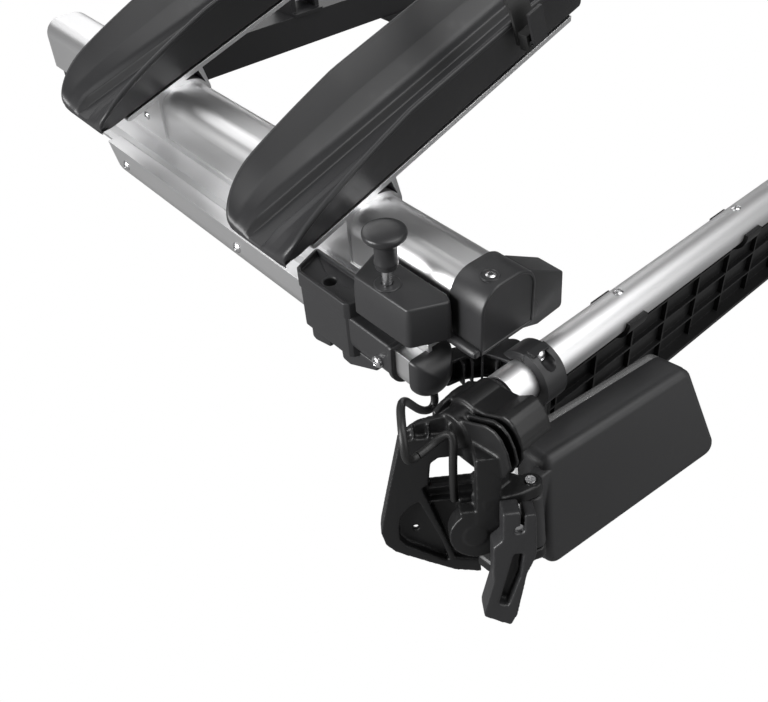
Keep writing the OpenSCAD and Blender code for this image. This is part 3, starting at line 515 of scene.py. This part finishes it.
# Wheel tray, in its own frame: places of its far end and its nose, half its width over the rims
# and at the base, height of its rims
TRAY_END = 332.0
TRAY_NOSE = -28.0
TRAY_HALF = 51.0
TRAY_BASE = 41.0
TRAY_RIM = 50.0
# Lengths over which the rims rise behind the nose and fall at the far end, and over which the
# two sides are cut back at the nose
RISE_RUN = 150.0
FALL_RUN = 70.0
NEAR_CUT = 16.0
FAR_CUT = 52.0


def tray_outline(along):
    """Section across a tray: the rims rise from a low nose, and the far side is cut back there."""
    t = along - TRAY_NOSE
    rise = min(1.0, 0.15 + 0.85 * (t / RISE_RUN) ** 0.4)
    drop = max(0.0, (along - TRAY_END + FALL_RUN) / FALL_RUN)
    high = TRAY_RIM * (rise - 0.26 * drop ** 1.6)
    near = 1 - 0.14 * max(0.0, 1 - t / NEAR_CUT) ** 2
    far = 1 - 0.36 * max(0.0, 1 - t / FAR_CUT) ** 2
    wall = 1000 * bpy.context.scene.carrier_sizes.tray_wall
    bottom = min(13.0, 0.5 * high)
    groove = min(4.6, 0.3 * high)
    n, f = near * TRAY_HALF, far * TRAY_HALF
    bn, bf = near * TRAY_BASE, far * TRAY_BASE
    return rounded([
        (-bn, 0.6, 6), (bf, 0.6, 6), (f - 1.2, high - 5, 4), (f, high - 3.6, 0.8), (f, high, 1.3),
        (f - wall, high, 1.3), (0.66 * f, 0.45 * high + 0.4 * bottom, 16), (0.42 * f, bottom, 12),
        (12.5, bottom - 1, 2.5), (8.5, groove, 2.2), (-8.5, groove, 2.2), (-12.5, bottom - 1, 2.5),
        (-0.42 * n, bottom, 12), (-0.66 * n, 0.45 * high + 0.4 * bottom, 16),
        (-(n - wall), high, 1.3), (-n, high, 1.3), (-n, high - 3.6, 0.8),
        (-(n - 1.2), high - 5, 4)], 3)


def in_tray(points, row):
    """From a tray's own frame to the frame of the corner."""
    return turned(np.asarray(points, float), 1, -TRAY_TILT) + (TRAY_START[0], row, TRAY_START[1])


class CARRIER_OT_trays(bpy.types.Operator):
    """Adds the four wheel trays: a section with two rims and a groove, swept along the tray, and
    a nose with a recess in its face."""

    bl_idname = "carrier.trays"
    bl_label = "Wheel trays"

    def execute(self, context):
        near_nose = TRAY_NOSE + 60 * np.linspace(0, 1, 18) ** 1.9
        rest = np.linspace(TRAY_NOSE + 68, TRAY_END - 2, 34)
        for row_name, row in (("rear", REAR_ROW), ("front", REAR_ROW + ROW_PITCH)):
            for side in SIDES:
                rings = []
                for along in np.concatenate([near_nose, rest]):
                    flat = tray_outline(along)
                    rings.append(np.column_stack([np.full(len(flat), along), flat]))
                nose = tray_outline(TRAY_NOSE)
                for amount, depth in ((0.7, -0.3), (1.5, 0.0), (1.7, 0.6), (1.9, 9.0)):
                    flat = inset(nose, amount)
                    rings.insert(0, np.column_stack([np.full(len(flat), TRAY_NOSE + depth), flat]))
                last = rings[-1][:, 1:]
                for amount, depth in ((0.5, 1.3), (1.3, 2.0)):
                    flat = inset(last, amount)
                    rings.append(np.column_stack([np.full(len(flat), TRAY_END - 2 + depth), flat]))
                verts, faces = loft(rings)
                node = f"tray_{row_name}_{side}"
                placed = in_corner(in_tray(verts, row), side)
                piece = make_piece(node + "_moulded", [(placed, faces)], "tray", "frame", 40)
                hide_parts(node)
        return {"FINISHED"}


# Plunger housing and knob beside the rail, and the catch block with its step, its rim, its hole,
# the shoes below it and the screw of its sleeve. Plans have corners (x, y, radius), shoes corners
# (y, z, radius) and profiles points (radius, height). The step is (inset, height), the rim
# (inset, depth below the top) and the hole's rings are (growth of its radius, depth)
HOUSE_PLAN = [(-39.5, 98.5, 4), (-9, 110.5, 4), (-2.6, 104, 4), (-2.6, 33, 3), (-7, 22.5, 5),
              (-38.8, 37.5, 6)]
HOUSE_LOW = 8.0
HOUSE_HIGH = 43.0
PIN_PLACE = (-27.0, 72.0)
KNOB_LOW = 59.0
KNOB_PROFILE = [(0.2, 0), (7.4, 0), (8.2, 0.5), (8.4, 1.4), (8.4, 4.0), (9.0, 4.6), (9.0, 6.2),
                (8.6, 7.5), (8.5, 19.0), (9.0, 20.6), (10.6, 22.8), (13.2, 25.0), (15.3, 26.6),
                (16.3, 28.0), (16.6, 29.6), (16.5, 31.2), (16.0, 32.2), (15.0, 32.8), (11.0, 33.8),
                (6.0, 34.5), (2.0, 34.8), (0.2, 34.8)]
CATCH_PLAN = [(-40.0, 113, 3), (-37.0, 109, 3), (-8.2, 98, 3), (-8.2, 188, 3), (-37.0, 177, 4),
              (-40.0, 172, 4)]
CATCH_LOW = -51.5
CATCH_HIGH = 7.5
CATCH_STEP = [(1.3, -9.4), (1.2, -8.4), (0.2, -8.0), (0.0, -7.2)]
CATCH_RIM = [(2.2, 0), (2.7, 0.6), (3.0, 3.6), (3.6, 4.1)]
HOLE_PLACE = (-26.5, 147.0)
HOLE_RADIUS = 5.5
HOLE_RINGS = [(3.0, 4.1), (1.2, 4.1), (0.9, 4.15), (0.0, 5.2), (0.0, 18.0)]
SHOES = [[(150, -50, 2), (150, -68, 3), (171, -73, 3), (176, -71, 3), (176, -50, 2)],
         [(86, -46, 2), (88, -54, 3), (124, -71, 4), (134, -70, 3), (136, -48, 2)]]
SCREW_PLACE = (-38.3, 76.0, -30.0)
SCREW_PROFILE = [(0.2, -1), (5.4, -1), (5.5, 0.6), (5.0, 1.9), (4.0, 2.8), (2.9, 3.1), (2.6, 2.9),
                 (2.4, 1.4), (0.2, 1.4)]
# Guide profile: middle (x, z) and radius of its round lower half, and height of its flat top
GUIDE_PLACE = (-18.3, -29.5)
GUIDE_RADIUS = 16.5
GUIDE_TOP = -9.5


def guide_outline(grow):
    """Outline of the guide profile, grown: round below, upright walls and a flat top."""
    x, z = GUIDE_PLACE
    r = GUIDE_RADIUS + grow
    arc = [(x + r * math.cos(a), z + r * math.sin(a)) for a in np.linspace(-math.pi, 0, 25)]
    top = rounded([(x + r, z, 0), (x + r, GUIDE_TOP + grow, 2.5), (x - r, GUIDE_TOP + grow, 2.5),
                   (x - r, z, 0)], 4)
    return np.array(arc + [tuple(p) for p in top[5:15]])


class CARRIER_OT_catches(bpy.types.Operator):
    """Adds the plunger housings, their knobs and the catch blocks with sleeve, rim and hole."""

    bl_idname = "carrier.catches"
    bl_label = "Plungers and catches"

    def execute(self, context):
        edge = 1200 * context.scene.carrier_sizes.edge
        for side in SIDES:
            plan = rounded(HOUSE_PLAN, 5)
            top = [(a + 1.1, HOUSE_HIGH - b) for a, b in reversed(edge_steps(edge))]
            low = [(a, HOUSE_LOW + b) for a, b in edge_steps(0.8)]
            foot = rounded([(-7.4, 50, 1), (-1.5, 50, 1), (-1.5, 104, 1), (-7.4, 104, 1)], 2)
            collar = [(0.2, 0), (9.4, 0), (10.3, 0.4), (10.3, 0.9), (9.6, 1.4), (4.6, 1.5),
                      (4.4, 1.0), (4.2, 0.3), (0.2, 0.3)]
            parts = [block(plan, low + [(0.2, HOUSE_HIGH - 12)] + top),
                     block(foot, soft_levels(0, 8.5, 0.6)),
                     lathe(collar, PIN_PLACE + (HOUSE_HIGH - 0.3,))]
            piece = make_piece(f"plunger_housing_{side}_moulded", on_side(parts, side), "plastic",
                               "frame")
            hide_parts(f"plunger_housing_{side}")
            knob = lathe(KNOB_PROFILE, PIN_PLACE + (KNOB_LOW,), 64)
            piece = make_piece(f"plunger_knob_{side}_turned", on_side([knob], side), "knob",
                               f"plunger_{side}", 60)
            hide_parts(f"plunger_knob_{side}")
            self.catch(side, edge)
        return {"FINISHED"}

    def catch(self, side, edge):
        """Catch block: a drafted body with a recessed top, whose floor runs into the hole."""
        plan = divided(rounded(CATCH_PLAN, 4), 3.0)
        levels = [(a + 1.9, CATCH_LOW + b) for a, b in edge_steps(2.0)]
        levels += CATCH_STEP
        levels += [(a, CATCH_HIGH - b) for a, b in reversed(edge_steps(edge * 0.7))]
        levels += [(amount, CATCH_HIGH - depth) for amount, depth in CATCH_RIM]
        body, _ = block(plan, levels)
        rings = list(body.reshape(len(levels), -1, 3))
        ring = rings[-1]
        away = ring[:, :2] - HOLE_PLACE
        away /= np.hypot(*away.T)[:, None]
        for grow, depth in HOLE_RINGS:
            around = HOLE_PLACE + away * (HOLE_RADIUS + grow)
            rings.append(np.column_stack([around, np.full(len(ring), CATCH_HIGH - depth)]))
        parts = [loft(rings)]
        sleeve, rim = guide_outline(2.6), guide_outline(4.2)
        parts.append(block(sleeve, [(1.0, 62), (0, 63), (0, 111)], 1))
        parts.append(block(rim, soft_levels(58.5, 63.5, 1.1), 1))
        for shoe in SHOES:
            parts.append(block(rounded(shoe, 4), soft_levels(-31, -9, 1.6), 0))
        piece = make_piece(f"catch_block_{side}_moulded", on_side(parts, side), "plastic",
                           "light_carriage")
        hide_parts(f"catch_block_{side}")
        head, skin = lathe(SCREW_PROFILE, (0, 0, 0), 36)
        head = head[:, (2, 1, 0)] * (-1, 1, 1) + SCREW_PLACE
        make_piece(f"sleeve_screw_{side}", on_side([(head, skin)], side), "steel",
                   "light_carriage", 35)


# End cap of the rail: its outline (x, z, radius), its length, the outline of the box beside it
# and the place (x, y) of its screw seat
CAP_OUTLINE = [(-1, 0, 2), (-1, 58.5, 21), (57, 58.5, 21), (57, 0, 2)]
CAP_LENGTH = 34.0
CAP_BOX = [(49, 54, 2), (91, 30, 3), (93, -6, 4), (64, -8, 3), (44, -1, 2)]
CAP_SCREW = (20.0, 13.0)
# Carriage arm: place (y, z) and radius of the crossbar, the clamp round it, the dome on the cap
# of the guide profile, and the arm's plan, lower faces of its flanges, web and ribs (x, half
# length, lean)
TUBE_PLACE = (-15.0, -33.0)
TUBE_RADIUS = 17.0
CLAMP_RADIUS = 25.0
CLAMP_ENDS = (30, 52)
DOME_START = 38.5
DOME_DEEP = 16.5
DOME_TURN = 1.42
ARM_PLAN = [(-8, 29, 2), (6, 26, 8), (21, 16, 8), (30, -8, 3), (51, -8, 3), (51, 12, 8),
            (34, 26, 12), (6, 40, 6), (-8, 40, 2)]
ARM_FLANGES = (-46.0, -24.0)
ARM_WEB = [(0, -44), (0, -22)]
ARM_RIBS = [(4, 13, -12), (14, 14, -28), (24, 15, -48), (34, 15, -64)]


class CARRIER_OT_end_caps(bpy.types.Operator):
    """Adds the rails' end caps: a rimmed face, a lug, a screw seat and the box beside it."""

    bl_idname = "carrier.end_caps"
    bl_label = "Rail end caps"

    def execute(self, context):
        edge = 1100 * context.scene.carrier_sizes.edge
        shell = [(3.6, 1.1), (3.1, 1.0), (2.7, 0.2), (2.2, 0.0)]
        shell += [(a, b) for a, b in edge_steps(edge, 5)]
        shell += [(0, CAP_LENGTH - 0.8), (0.3, CAP_LENGTH - 0.2), (0.9, CAP_LENGTH)]
        lug = [(0.2, 1.2), (2.6, 1.2), (3.6, 1.8), (4.2, 3.2), (4.4, 5), (4.4, CAP_LENGTH - 4),
               (3.8, CAP_LENGTH - 3), (0.2, CAP_LENGTH - 3)]
        seat = [(0.2, -1), (7.6, -1), (7.6, 0.2), (7.2, 0.6), (6.4, 0.6), (6.2, 0.1), (0.2, 0.1)]
        latch = rounded([(55.5, 4, 1), (55.5, 19, 1), (58.5, 21, 1), (63, 12, 1), (61, 3, 1)], 3)
        for side in SIDES:
            turned_lug, skin = lathe(lug, (0, 0, 0), 32)
            turned_lug = turned_lug[:, (0, 2, 1)] + (-3, 0, 3)
            parts = [block(rounded(CAP_OUTLINE, 9), shell, 1), (turned_lug, skin),
                     block(rounded(CAP_BOX, 4), soft_levels(1.6, 28, 1.5), 1),
                     block(latch, soft_levels(0.6, 20, 0.7), 1),
                     lathe(seat, CAP_SCREW + (CAP_OUTLINE[1][1],), 36)]
            piece = make_piece(f"end_cap_{side}_moulded", on_side(parts, side), "plastic", "frame")
            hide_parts(f"end_cap_{side}")
        return {"FINISHED"}


class CARRIER_OT_arms(bpy.types.Operator):
    """Adds the carriage arms: the round cap of the guide profile, an arm with two flanges and a
    lattice between them, and the front half of the clamp round the crossbar."""

    bl_idname = "carrier.arms"
    bl_label = "Carriage arms"

    def execute(self, context):
        y, z = TUBE_PLACE
        bow = np.linspace(-math.pi / 2, math.pi / 2, 29)
        bore = TUBE_RADIUS + 0.3
        outer = [(y + CLAMP_RADIUS * math.cos(a), z + CLAMP_RADIUS * math.sin(a)) for a in bow]
        inner = [(y + bore * math.cos(a), z + bore * math.sin(a)) for a in bow]
        collar = block(np.array(outer + inner[::-1]), soft_levels(*CLAMP_ENDS, 1.2), 0)
        flat = guide_outline(2.8)
        middle = np.array(GUIDE_PLACE) + (0, 2.5)
        cap = []
        dome = [(math.cos(t), DOME_START - DOME_DEEP * math.sin(t))
                for t in np.linspace(0, DOME_TURN, 12)]
        for share, back in [(0.97, 40.4), (1.0, 39.8)] + dome:
            ring = middle + (flat - middle) * share
            cap.append(np.column_stack([ring[:, 0], np.full(len(ring), back), ring[:, 1]]))
        plan = rounded(ARM_PLAN, 6)
        web = inset(plan, 5.0)
        for side in SIDES:
            parts = [loft(cap), collar]
            for low in ARM_FLANGES:
                parts.append(block(plan, soft_levels(low, low + 3.4, 0.8)))
            parts.append(block(web, ARM_WEB))
            for x, run, lean in ARM_RIBS:
                rib = np.array([(-0.9, -run), (0.9, -run), (0.9, run), (-0.9, run)], float)
                c, t = math.cos(math.radians(lean)), math.sin(math.radians(lean))
                rib = rib @ np.array([[c, t], [-t, c]]) + (x, 33.0 - 0.019 * x * x)
                parts.append(block(rib, ARM_WEB))
            piece = make_piece(f"carriage_arm_{side}_moulded", on_side(parts, side), "plastic",
                               "light_carriage")
            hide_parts(f"carriage_arm_{side}")
        return {"FINISHED"}


# Lamp hinge: its place, its lean and how far the lamp is ajar at rest. Lamp: its place, lean,
# thickness and outline in its own frame. Barrel: its ends along the pin and its radius
HINGE_PLACE = (-20.0, -70.0, -62.0)
HINGE_LEAN = 7.5
LAMP_AJAR = 7.0
LAMP_PLACE = (1.0, -62.0, -64.0)
LAMP_LEAN = 15.0
LAMP_THICK = 34.0
LAMP_CORNERS = [(0.4, -0.3, 10), (161.6, -0.3, 12), (189.8, -101.6, 12), (-13.4, -101.6, 12)]
BARREL_TOP = -12.0
BARREL_LOW = -64.0
BARREL_RADIUS = 8.5


def in_hinge(points):
    """From the hinge's own frame, its Z along the pin, to the frame of the corner."""
    return turned(points, 0, -HINGE_LEAN) + HINGE_PLACE


def in_lamp(points):
    """From the lamp's own frame (along it, down its face, out of its back) to the corner's."""
    placed = turned(points, 0, 90 - LAMP_LEAN) + np.subtract(LAMP_PLACE, HINGE_PLACE)
    return in_hinge(turned(turned(placed, 0, HINGE_LEAN), 2, -LAMP_AJAR))


class CARRIER_OT_lamps(bpy.types.Operator):
    """Adds the lamp housings with their hinge barrels, and the clear lenses."""

    bl_idname = "carrier.lamps"
    bl_label = "Lamps"

    def execute(self, context):
        outline = rounded(LAMP_CORNERS, 7)
        deep = -LAMP_THICK
        back = [(a + 0.6, -b) for a, b in edge_steps(6.5, 6)]
        mouth = [(a, deep + b) for a, b in reversed(edge_steps(0.8, 3))]
        shell = back + [(0.6, -9), (0, -10), (0, deep + 8), (0, deep + 7)] + mouth
        shell += [(3.0, deep), (3.2, deep + 1), (3.4, -4.0)]
        lens = [(3.2, deep - 7.6), (3.2, deep + 1.0), (0.5, deep - 0.2), (0.1, deep - 0.6),
                (0, deep - 4)]
        lens += [(a, deep - 9.8 + b) for a, b in reversed(edge_steps(3.5, 5))]
        r = BARREL_RADIUS
        barrel = [(0.2, BARREL_LOW), (r - 1, BARREL_LOW), (r, BARREL_LOW + 1), (r, BARREL_TOP - 1),
                  (r - 1, BARREL_TOP), (0.2, BARREL_TOP)]
        web = rounded([(0, -8.4, 1), (7, -4.5, 4), (16, 6, 3), (27, 6.5, 2), (27, 22, 2),
                       (9, 15, 5), (0, 8.4, 1)], 4)
        for side in SIDES:
            pin = lathe(barrel, (0, 0, 0))
            arm = block(web, soft_levels(BARREL_LOW, BARREL_TOP, 1.5))
            body, skin = block(outline, shell), block(outline, lens)
            parts = [(in_lamp(body[0]), body[1])]
            parts += [(in_hinge(turned(v, 2, -LAMP_AJAR)), f) for v, f in (pin, arm)]
            piece = make_piece(f"lamp_housing_{side}_moulded", on_side(parts, side), "lamp",
                               f"lamp_{side}", 40)
            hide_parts(f"lamp_housing_{side}")
            glass = on_side([(in_lamp(skin[0]), skin[1])], side)
            piece = make_piece(f"lamp_lens_{side}_clear", glass, "lens", f"lamp_{side}", 40)
            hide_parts(f"lamp_lens_{side}")
        return {"FINISHED"}


# Lamp cable: its thickness and its routes, as in the part's source, on the carriage and on the
# tilting bar
CABLE = 6.4
ROUTE_ROUNDS = 10
CARRIAGE_ROUTE = [(-18, 34, -49.8), (-18, 33, -57), (-23, 32, -62), (-34, 31, -55), (-46, 28, -38),
                  (-58, 22, -20), (-72, 10, -7), (-84, -5, -5), (-90, -13, -12), (-91, -16, -24),
                  (-87, -15, -32), (-80, -15, -33)]
BRACKET_ROUTE = [(-79, -15, -33), (-70, -15, -33), (-62, -15.5, -31), (-56, -18, -27),
                 (-53.5, -21.5, -25), (-54, -25, -29), (-58, -28.5, -44), (-60, -31, -66),
                 (-59, -31, -84)]


def smooth_route(route, steps=6):
    """Catmull-Rom curve through the points of a route, relaxed a little."""
    p = np.array([route[0]] + list(route) + [route[-1]], float)
    done = []
    for a, b, c, d in zip(p, p[1:], p[2:], p[3:]):
        for t in np.linspace(0, 1, steps, endpoint=False):
            done.append(0.5 * (2 * b + (c - a) * t + (2 * a - 5 * b + 4 * c - d) * t * t
                               + (3 * b - a - 3 * c + d) * t ** 3))
    done = np.array(done + [p[-1]])
    for _ in range(ROUTE_ROUNDS):
        done[1:-1] = 0.5 * done[1:-1] + 0.25 * (done[:-2] + done[2:])
    return done


class CARRIER_OT_cables(bpy.types.Operator):
    """Adds the lamp cables as smooth cords on the routes of their solids."""

    bl_idname = "carrier.cables"
    bl_label = "Lamp cables"

    def execute(self, context):
        for side in SIDES:
            for where, route, body in (("carriage", CARRIAGE_ROUTE, "light_carriage"),
                                       ("bracket", BRACKET_ROUTE, "light_bar")):
                points = in_corner(smooth_route(route), side)
                curve = bpy.data.curves.new(f"cable_{where}_{side}", "CURVE")
                curve.dimensions = "3D"
                line = curve.splines.new("POLY")
                line.points.add(len(points) - 1)
                spots = np.column_stack([points, np.ones(len(points))])
                line.points.foreach_set("co", spots.ravel())
                line.use_smooth = True
                curve.bevel_depth = CABLE / 2000
                curve.bevel_resolution = 5
                curve.use_fill_caps = True
                curve.materials.append(finishes["cable"])
                piece = bpy.data.objects.new(curve.name, curve)
                context.scene.collection.objects.link(piece)
                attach(piece, body)
                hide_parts(where + "_cables")
        return {"FINISHED"}


class CARRIER_OT_mouldings(bpy.types.Operator):
    """Rounds the edges of the lamp brackets and cam levers like mouldings."""

    bl_idname = "carrier.mouldings"
    bl_label = "Mouldings"

    def execute(self, context):
        for side in SIDES:
            # The lamp brackets take the darkened moulding: painted shade
            softened(f"lamp_bracket_{side}", "shade", "light_bar", 4)
            softened(f"cam_lever_{side}", "plastic", f"cam_lever_{side}", 6)
        return {"FINISHED"}


# Stage: floor and sky as the camera and the surfaces see them, lights as (name, place, target,
# diameter, power), and the camera solved from the photo, in pixels and degrees
FLOOR_HALF = 9.0
FLOOR_GAP = 0.06
FLOOR_IN_MIRROR = 0.14
FLOOR_THROUGH_LENS = 0.7
SKY_ON_OBJECT = 0.14
LIGHTS = [
    ("key", (0.2, -1.5, 2.2), (-0.1, -0.6, 0.05), 2.1, 44.0),
    ("far", (0.9, 1.8, 1.6), (-0.45, -0.5, 0.1), 2.6, 22.0),
    ("front", (-0.85, 1.6, 1.75), (-0.45, -0.5, 0.1), 1.8, 11.0),
    ("side", (-2.3, -0.2, 0.5), (-0.5, -0.6, 0.0), 1.2, 70.0),
    ("rear", (0.3, -3.0, 0.8), (-0.3, -0.8, 0.0), 2.2, 26.0),
]
PHOTO_WIDTH = 768.0
PHOTO_HEIGHT = 702.0
FOCAL_LENGTH = 905.0
VIEW_CENTRE = (460.0, 280.0)
CAMERA_PLACE = (-0.8558, -1.1389, 0.5284)
CAMERA_PITCH = 38.04
CAMERA_HEADING = 44.49


class CARRIER_OT_stage(bpy.types.Operator):
    """Adds the pale floor, the soft lights and the camera."""

    bl_idname = "carrier.stage"
    bl_label = "Stage"

    def execute(self, context):
        self.floor(context)
        self.sky(context)
        for light in LIGHTS:
            self.lamp(*light)
        self.camera(context)
        context.scene.view_settings.view_transform = "Standard"
        return {"FINISHED"}

    def floor(self, context):
        """A floor that looks white to the camera and dark to the object."""
        floor = bpy.data.meshes.new("floor")
        r = FLOOR_HALF
        low = cad_box[0][2] - FLOOR_GAP
        corners = [(-r, -r, low), (r, -r, low), (r, r, low), (-r, r, low)]
        floor.from_pydata(corners, [], [(0, 1, 2, 3)])
        floor.update()
        ground = bpy.data.objects.new("floor", floor)
        context.scene.collection.objects.link(ground)
        p = Paint("pale_floor")
        lit = p.node("ShaderNodeBsdfDiffuse", {}, {"Color": (0.12, 0.12, 0.12, 1)})
        glow = p.node("ShaderNodeEmission", {}, {"Color": (1, 1, 1, 1), "Strength": 1.0})
        seen = p.node("ShaderNodeLightPath", out="Is Camera Ray")
        mirror = p.node("ShaderNodeLightPath", out="Is Glossy Ray")
        through = p.node("ShaderNodeLightPath", out="Is Transmission Ray")
        share = seen + mirror * FLOOR_IN_MIRROR + through * FLOOR_THROUGH_LENS
        mix = p.node("ShaderNodeMixShader", {}, {0: share, 1: lit, 2: glow})
        p.tree.links.new(mix.socket, p.output.inputs["Surface"])
        floor.materials.append(p.material)

    def sky(self, context):
        """A sky that is white to the camera and dim to the object."""
        world = bpy.data.worlds.new("studio")
        world.use_nodes = True
        tree = world.node_tree
        tree.nodes.clear()
        out = tree.nodes.new("ShaderNodeOutputWorld")
        sky = tree.nodes.new("ShaderNodeBackground")
        sky.inputs["Color"].default_value = (1, 1, 1, 1)
        path = tree.nodes.new("ShaderNodeLightPath")
        level = tree.nodes.new("ShaderNodeMapRange")
        level.inputs[3].default_value = SKY_ON_OBJECT
        level.inputs[4].default_value = 1.0
        tree.links.new(path.outputs["Is Camera Ray"], level.inputs[0])
        tree.links.new(level.outputs[0], sky.inputs["Strength"])
        tree.links.new(sky.outputs[0], out.inputs["Surface"])
        context.scene.world = world

    def camera(self, context):
        """The camera of the photo."""
        view = bpy.data.cameras.new("photo_view")
        view.sensor_fit = "HORIZONTAL"
        view.sensor_width = 36.0
        view.lens = FOCAL_LENGTH / PHOTO_WIDTH * view.sensor_width
        view.shift_x = (PHOTO_WIDTH / 2 - VIEW_CENTRE[0]) / PHOTO_WIDTH
        view.shift_y = (VIEW_CENTRE[1] - PHOTO_HEIGHT / 2) / PHOTO_WIDTH
        camera = bpy.data.objects.new("photo_view", view)
        camera.location = CAMERA_PLACE
        camera.rotation_euler = (math.radians(90 - CAMERA_PITCH), 0, math.radians(-CAMERA_HEADING))
        context.scene.collection.objects.link(camera)
        context.scene.camera = camera

    def lamp(self, name, place, target, size, power):
        """A round soft light that points at target."""
        light = bpy.data.lights.new(name, "AREA")
        light.shape = "DISK"
        light.size = size
        light.energy = power
        holder = bpy.data.objects.new(name, light)
        holder.location = place
        away = [place[k] - target[k] for k in range(3)]
        flat = math.hypot(away[0], away[1])
        holder.rotation_euler = (math.atan2(flat, away[2]), 0, math.atan2(away[0], -away[1]))
        bpy.context.scene.collection.objects.link(holder)


class CARRIER_PT_panel(bpy.types.Panel):
    """The carrier's finishes, sizes and pieces."""

    bl_idname = "CARRIER_PT_panel"
    bl_label = "Bike carrier"
    bl_space_type = "VIEW_3D"
    bl_region_type = "UI"
    bl_category = "Carrier"

    def draw(self, context):
        column = self.layout.column()
        for group in (context.scene.carrier_finish, context.scene.carrier_sizes):
            for name in group.bl_rna.properties.keys():
                if name not in ("rna_type", "name"):
                    column.prop(group, name)
        for name in STEPS:
            column.operator("carrier." + name)


STEPS = ["stage", "finish_frame", "cables", "trays", "catches", "end_caps", "arms", "lamps",
         "mouldings"]
CLASSES = [CarrierFinish, CarrierSizes, CARRIER_OT_stage, CARRIER_OT_finish_frame,
           CARRIER_OT_cables, CARRIER_OT_trays, CARRIER_OT_catches, CARRIER_OT_end_caps,
           CARRIER_OT_arms, CARRIER_OT_lamps, CARRIER_OT_mouldings, CARRIER_PT_panel]


def register():
    for cls in CLASSES:
        bpy.utils.register_class(cls)
    bpy.types.Scene.carrier_finish = PointerProperty(type=CarrierFinish)
    bpy.types.Scene.carrier_sizes = PointerProperty(type=CarrierSizes)


def unregister():
    del bpy.types.Scene.carrier_sizes
    del bpy.types.Scene.carrier_finish
    for cls in reversed(CLASSES):
        bpy.utils.unregister_class(cls)


def main():
    register()
    for name in STEPS:
        getattr(bpy.ops.carrier, name)()


if __name__ == "__main__":
    main()
